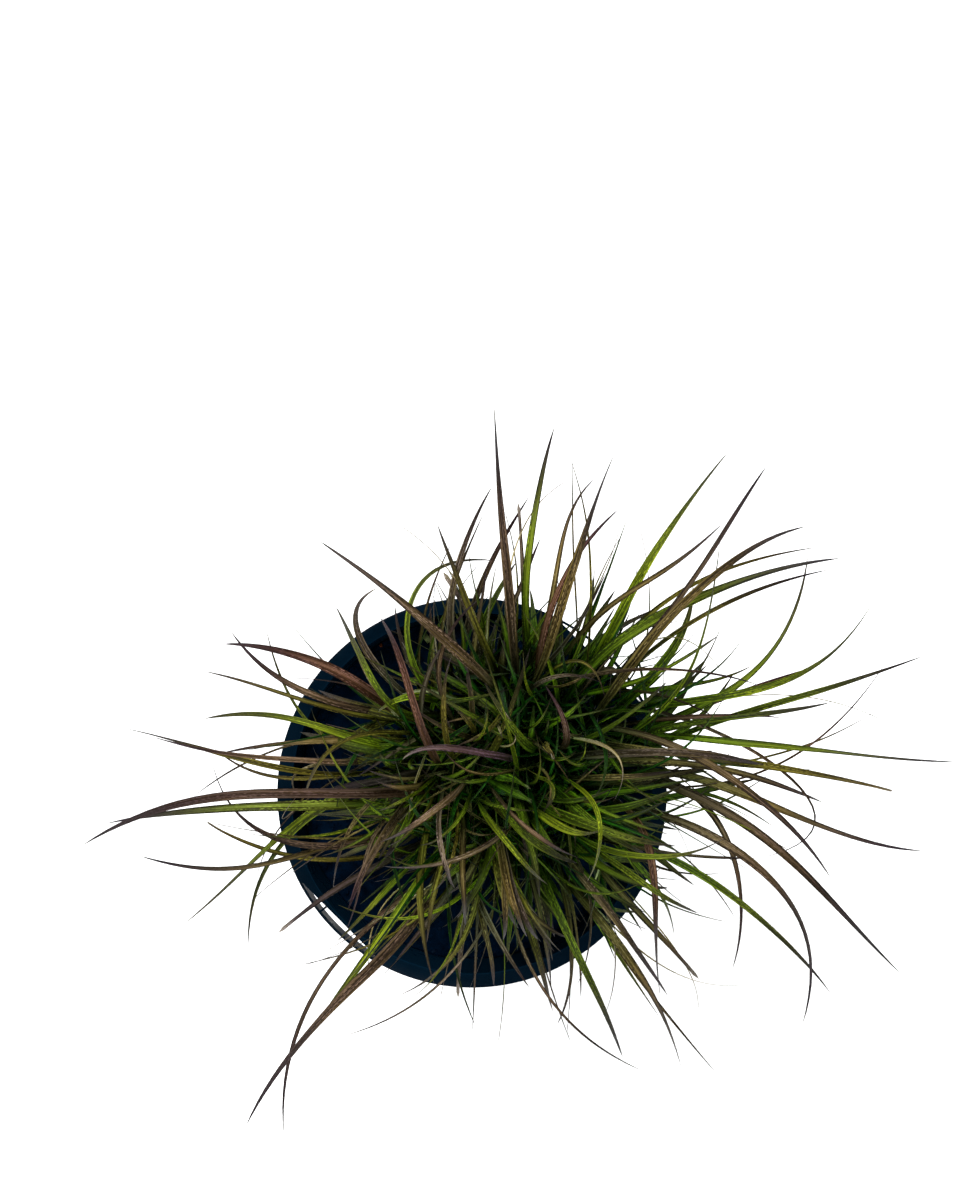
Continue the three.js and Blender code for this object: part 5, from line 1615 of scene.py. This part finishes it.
def soil_material():
    """Damp peat and bark: each crumb's own tint, darker in its pores, with a wet glint."""
    made, tree, shader = material("potting_mix", IOR=1.4, Specular_IOR_Level=0.01)
    grit, mottle = grain(tree, *SOIL_GRAIN)
    tint = attribute(tree, "tint", "Color")
    worn = blend(tree, mottle, *SOIL_WEAR)
    tree.links.new(blend(tree, 1.0, tint, worn, "MULTIPLY"), shader.inputs["Base Color"])
    tree.links.new(ramp(tree, grit, *SOIL_GLINT), shader.inputs["Roughness"])
    bump(tree, shader, *SOIL_BUMP, sums(tree, "ADD", grit, mottle))
    return made


# Streaks of a leaf: waves a millimetre across it and along it, and their detail
BANDS = (0.55, 0.008, 2.0)
VEINS = (1.5, 0.022, 1.0)
RIBS = (2.6, 0.03, 1.0)
STIPPLE = (1.7, 0.42, 1.0)
FLECKS = (1.2, 0.3, 2.0)
BLOTCHES = (0.2, 0.035, 3.0)
STREAK_ROUGHNESS = 0.5
# How a streak, or the share of the way to the leaf's edge, becomes a mask: the two values between
# which the mask changes and, where it doesn't go from 0 to 1, what it is at each of them
TO_MIDDLE = (0.25, 0.85, 0.16, -0.14)
TO_EDGE = (0.25, 0.9, -0.12, 0.16)
BANDS_AT_EDGE = (0.45, 0.55)
BANDED = (0.47, 0.53)
LINED = (0.48, 0.55)
SPECKLED = (0.4, 0.55, 0.7, 1.0)
BLOTCHED = (0.45, 0.7, 0, 0.45)
EDGED = (0.86, 0.98, 0, 0.5)
THREADED = (0.47, 0.41)
THREAD_BREAKS = (0.55, 0.42)
PALE_BETWEEN_BANDS = (0.43, 0.36, 0.0, 0.4)
MIDRIB = (0.0, 0.12, 0.35, 0.0)
FLECKED = (0.62, 0.7, 0, 0.7)
GROOVED = (0.4, 0.55, 0.45, 1.0)
LEAF_ROUGHNESS = (0.3, 0.7, 0.42, 0.62)
RIB_RELIEF = (0.35, 0.65)
VEIN_RELIEF = (0.4, 0.6)
# How dark the lines are, how much paler than the leaf its veins, midrib and flecks are (partly real
# pale veins, partly painted sheen highlights), and the bumps' strength and height
LINE_STRENGTH = 0.55
PALE_VEINS_AND_SHEEN = (2.2, 2.2, 5.0)
LEAF_BUMP = (0.6, 0.0004)


def grass_material(settings):
    """A ribbed leaf: dark lengthwise bands broken up by its veins, pale veins over them, a pale
    midrib and scattered flecks; these pale marks are partly painted sheen highlights. On some
    blades the bands keep to the middle and on others to the edges. place holds millimetres across
    and along the blade."""
    made, tree, shader = material("grass_leaf", IOR=1.42, Specular_IOR_Level=0.1)
    tint = attribute(tree, "tint", "Color")
    stripe = attribute(tree, "stripe", "Color")
    side = attribute(tree, "side", "Fac")
    own = attribute(tree, "own", "Fac")
    place = attribute(tree, "place", "Vector")

    def streaks(across, along, detail):
        scaled = node(tree, "VectorMath", {0: place, 1: (across, along, 1.0)}, operation="MULTIPLY")
        return noise(tree, scaled.outputs[0], 1.0, detail, STREAK_ROUGHNESS)

    bands = streaks(*BANDS)
    veins = streaks(*VEINS)
    ribs = streaks(*RIBS)
    stipple = streaks(*STIPPLE)
    flecks = streaks(*FLECKS)
    blotches = streaks(*BLOTCHES)
    edge = sums(tree, "ABSOLUTE", side)
    to_middle = ramp(tree, edge, *TO_MIDDLE)
    to_edge = ramp(tree, edge, *TO_EDGE)
    chosen = ramp(tree, own, *BANDS_AT_EDGE)
    others = sums(tree, "SUBTRACT", 1.0, chosen)
    leans = [sums(tree, "MULTIPLY", chosen, to_edge), sums(tree, "MULTIPLY", others, to_middle)]
    lean = sums(tree, "ADD", *leans)
    leaning = sums(tree, "ADD", bands, lean)
    banded = ramp(tree, leaning, *BANDED)
    lined = ramp(tree, veins, *LINED)
    speckled = ramp(tree, stipple, *SPECKLED)
    striped = sums(tree, "MAXIMUM", banded, sums(tree, "MULTIPLY", lined, LINE_STRENGTH))
    dark = sums(tree, "MULTIPLY", striped, speckled)
    leaf = blend(tree, dark, tint, stripe)
    leaf = blend(tree, ramp(tree, blotches, *BLOTCHED), leaf, stripe)
    leaf = blend(tree, ramp(tree, edge, *EDGED), leaf, stripe)
    # Pale veins, threads, midrib and flecks: partly real, partly painted sheen highlights
    pale = blend(tree, 1.0, tint, PALE_VEINS_AND_SHEEN, "MULTIPLY")
    thin = ramp(tree, veins, *THREADED)
    threads = sums(tree, "MULTIPLY", thin, ramp(tree, stipple, *THREAD_BREAKS))
    leaf = blend(tree, threads, leaf, pale)
    leaf = blend(tree, ramp(tree, leaning, *PALE_BETWEEN_BANDS), leaf, pale)
    leaf = blend(tree, ramp(tree, edge, *MIDRIB), leaf, pale)
    leaf = blend(tree, ramp(tree, flecks, *FLECKED), leaf, pale)
    grooves = ramp(tree, ribs, *GROOVED)
    shade = node(tree, "CombineXYZ", {0: grooves, 1: grooves, 2: grooves}).outputs[0]
    leaf = blend(tree, 1.0, leaf, shade, "MULTIPLY")
    bright = (settings.brightness,) * 3
    tree.links.new(blend(tree, 1.0, leaf, bright, "MULTIPLY"), shader.inputs["Base Color"])
    tree.links.new(ramp(tree, ribs, *LEAF_ROUGHNESS), shader.inputs["Roughness"])
    height = sums(tree, "ADD", ramp(tree, ribs, *RIB_RELIEF), ramp(tree, veins, *VEIN_RELIEF))
    bump(tree, shader, *LEAF_BUMP, height)
    return made


def floor_material(settings):
    made, _, shader = material("studio_floor", Roughness=0.9)
    shader.inputs["Base Color"].default_value = (*settings.floor, 1)
    return made


# Stage

def add_light(name, power, size, spot, aim):
    light = bpy.data.lights.new(name, "AREA")
    light.energy, light.shape, light.size = power, "DISK", size
    lamp = bpy.data.objects.new(name, light)
    lamp.location = spot
    lamp.rotation_euler = (Vector(aim) - Vector(spot)).to_track_quat("-Z", "Y").to_euler()
    lamp.visible_camera = False
    bpy.context.scene.collection.objects.link(lamp)


SENSOR = 36.0
LIGHT_SIZE = 1.1
LIGHT_DISTANCE = 2.6
LIGHT_RISE = math.radians(50)
# Where the key and the fill lights stand, as turns from the photograph's right
KEY_TURN = math.radians(125)
FILL_TURNS = (math.radians(5), math.radians(245))


def photo_directions():
    """The photograph's right and up in the row's frame."""
    right = to_row([[1 / MM, 0, 0]])[0]
    up = to_row([[0, 1 / MM, 0]])[0]
    return right, up


def add_camera():
    """A camera that looks straight down from the photograph's eye, with its top up."""
    right, up = photo_directions()
    camera = bpy.data.cameras.new("photo_camera")
    to_rim = (EYE[2] - POT_HEIGHT) * MM
    half_height = RIM_RADIUS * MM / RIM_PIXELS * FRAME_SIZE[1] / 2
    camera.sensor_width = SENSOR
    camera.lens = SENSOR / 2 * to_rim / half_height
    eye = bpy.data.objects.new("photo_camera", camera)
    turn = Matrix((right, up, (0, 0, 1))).transposed().to_4x4()
    eye.matrix_world = Matrix.Translation(to_row([EYE])[0]) @ turn
    bpy.context.scene.collection.objects.link(eye)
    bpy.context.scene.camera = eye


def add_world(settings):
    """Even light from all round, behind a white backdrop."""
    world = bpy.data.worlds.new("studio")
    world.use_nodes = True
    tree = world.node_tree
    seen = node(tree, "LightPath").outputs["Is Camera Ray"]
    strength = ramp(tree, seen, 0, 1, settings.sky, 1.0)
    tree.links.new(strength, tree.nodes["Background"].inputs["Strength"])
    tree.nodes["Background"].inputs["Color"].default_value = (1, 1, 1, 1)
    bpy.context.scene.world = world


# Operators, one for each piece or group of pieces and one for the stage

class GRASS_OT_pot(bpy.types.Operator):
    """Make the nursery pot"""

    bl_idname = "grass.make_pot"
    bl_label = "Make Pot"

    def execute(self, context):
        settings = context.scene.grass_pot
        put("nursery_pot", pot_mesh(settings), pot_material(settings), ["pot"])
        return {"FINISHED"}


class GRASS_OT_soil(bpy.types.Operator):
    """Make the potting mix with its crumbs"""

    bl_idname = "grass.make_soil"
    bl_label = "Make Soil"

    def execute(self, context):
        settings = context.scene.grass_soil
        put("potting_mix", soil_mesh(settings), soil_material(), ["soil"])
        return {"FINISHED"}


class GRASS_OT_stems(bpy.types.Operator):
    """Make the leafy stems"""

    bl_idname = "grass.make_stems"
    bl_label = "Make Leafy Stems"

    def execute(self, context):
        settings = context.scene.grass_blades
        leaf = grass_material(settings)
        for stem in dressed_stems(settings):
            skin = Skin()
            add_cane(skin, stem)
            for blade in stem.blades:
                add_blade(skin, blade, settings)
            number = f"{stem.index + 1:02d}"
            name = f"grass_{number}"
            put(name, skin.mesh(name), leaf, [f"leafy_stem_{number}"])
        return {"FINISHED"}


class GRASS_OT_stage(bpy.types.Operator):
    """Make the floor, the lights and the camera"""

    bl_idname = "grass.make_stage"
    bl_label = "Make Stage"

    def execute(self, context):
        settings = context.scene.grass_stage
        half = settings.floor_size / 2
        mesh = bpy.data.meshes.new("studio_floor")
        corners = [(-half, -half, 0), (half, -half, 0), (half, half, 0), (-half, half, 0)]
        mesh.from_pydata(corners, [], [(0, 1, 2, 3)])
        mesh.materials.append(floor_material(settings))
        floor = bpy.data.objects.new("studio_floor", mesh)
        context.scene.collection.objects.link(floor)
        right, up = (np.array(direction) for direction in photo_directions())
        middle = np.array([0, 0, POT_HEIGHT * MM])

        def lit_from(name, power, turn):
            level = right * math.cos(turn) + up * math.sin(turn)
            away = level * math.cos(LIGHT_RISE) + np.array([0, 0, math.sin(LIGHT_RISE)])
            add_light(name, power, LIGHT_SIZE, middle + away * LIGHT_DISTANCE, middle)

        lit_from("key", settings.key, KEY_TURN)
        for number, turn in enumerate(FILL_TURNS):
            lit_from(f"fill_{number + 1}", settings.fill, turn)
        add_world(settings)
        add_camera()
        context.scene.view_settings.view_transform = "Standard"
        return {"FINISHED"}


class GRASS_PT_panel(bpy.types.Panel):
    """Lists the operators in the sidebar"""

    bl_idname = "GRASS_PT_panel"
    bl_label = "Potted Fountain Grass"
    bl_space_type = "VIEW_3D"
    bl_region_type = "UI"
    bl_category = "Grass"

    def draw(self, context):
        for operator in OPERATORS:
            self.layout.operator(operator.bl_idname)


SETTINGS = {
    "grass_pot": PotSettings,
    "grass_soil": SoilSettings,
    "grass_blades": GrassSettings,
    "grass_stage": StageSettings,
}
OPERATORS = (GRASS_OT_pot, GRASS_OT_soil, GRASS_OT_stems, GRASS_OT_stage)


def register():
    for made in (*SETTINGS.values(), *OPERATORS, GRASS_PT_panel):
        bpy.utils.register_class(made)
    for name, made in SETTINGS.items():
        setattr(bpy.types.Scene, name, bpy.props.PointerProperty(type=made))


def unregister():
    for name in SETTINGS:
        delattr(bpy.types.Scene, name)
    for made in reversed((*SETTINGS.values(), *OPERATORS, GRASS_PT_panel)):
        bpy.utils.unregister_class(made)


def main():
    register()
    bpy.ops.grass.make_pot()
    bpy.ops.grass.make_soil()
    bpy.ops.grass.make_stems()
    bpy.ops.grass.make_stage()


if __name__ == "__main__":
    main()
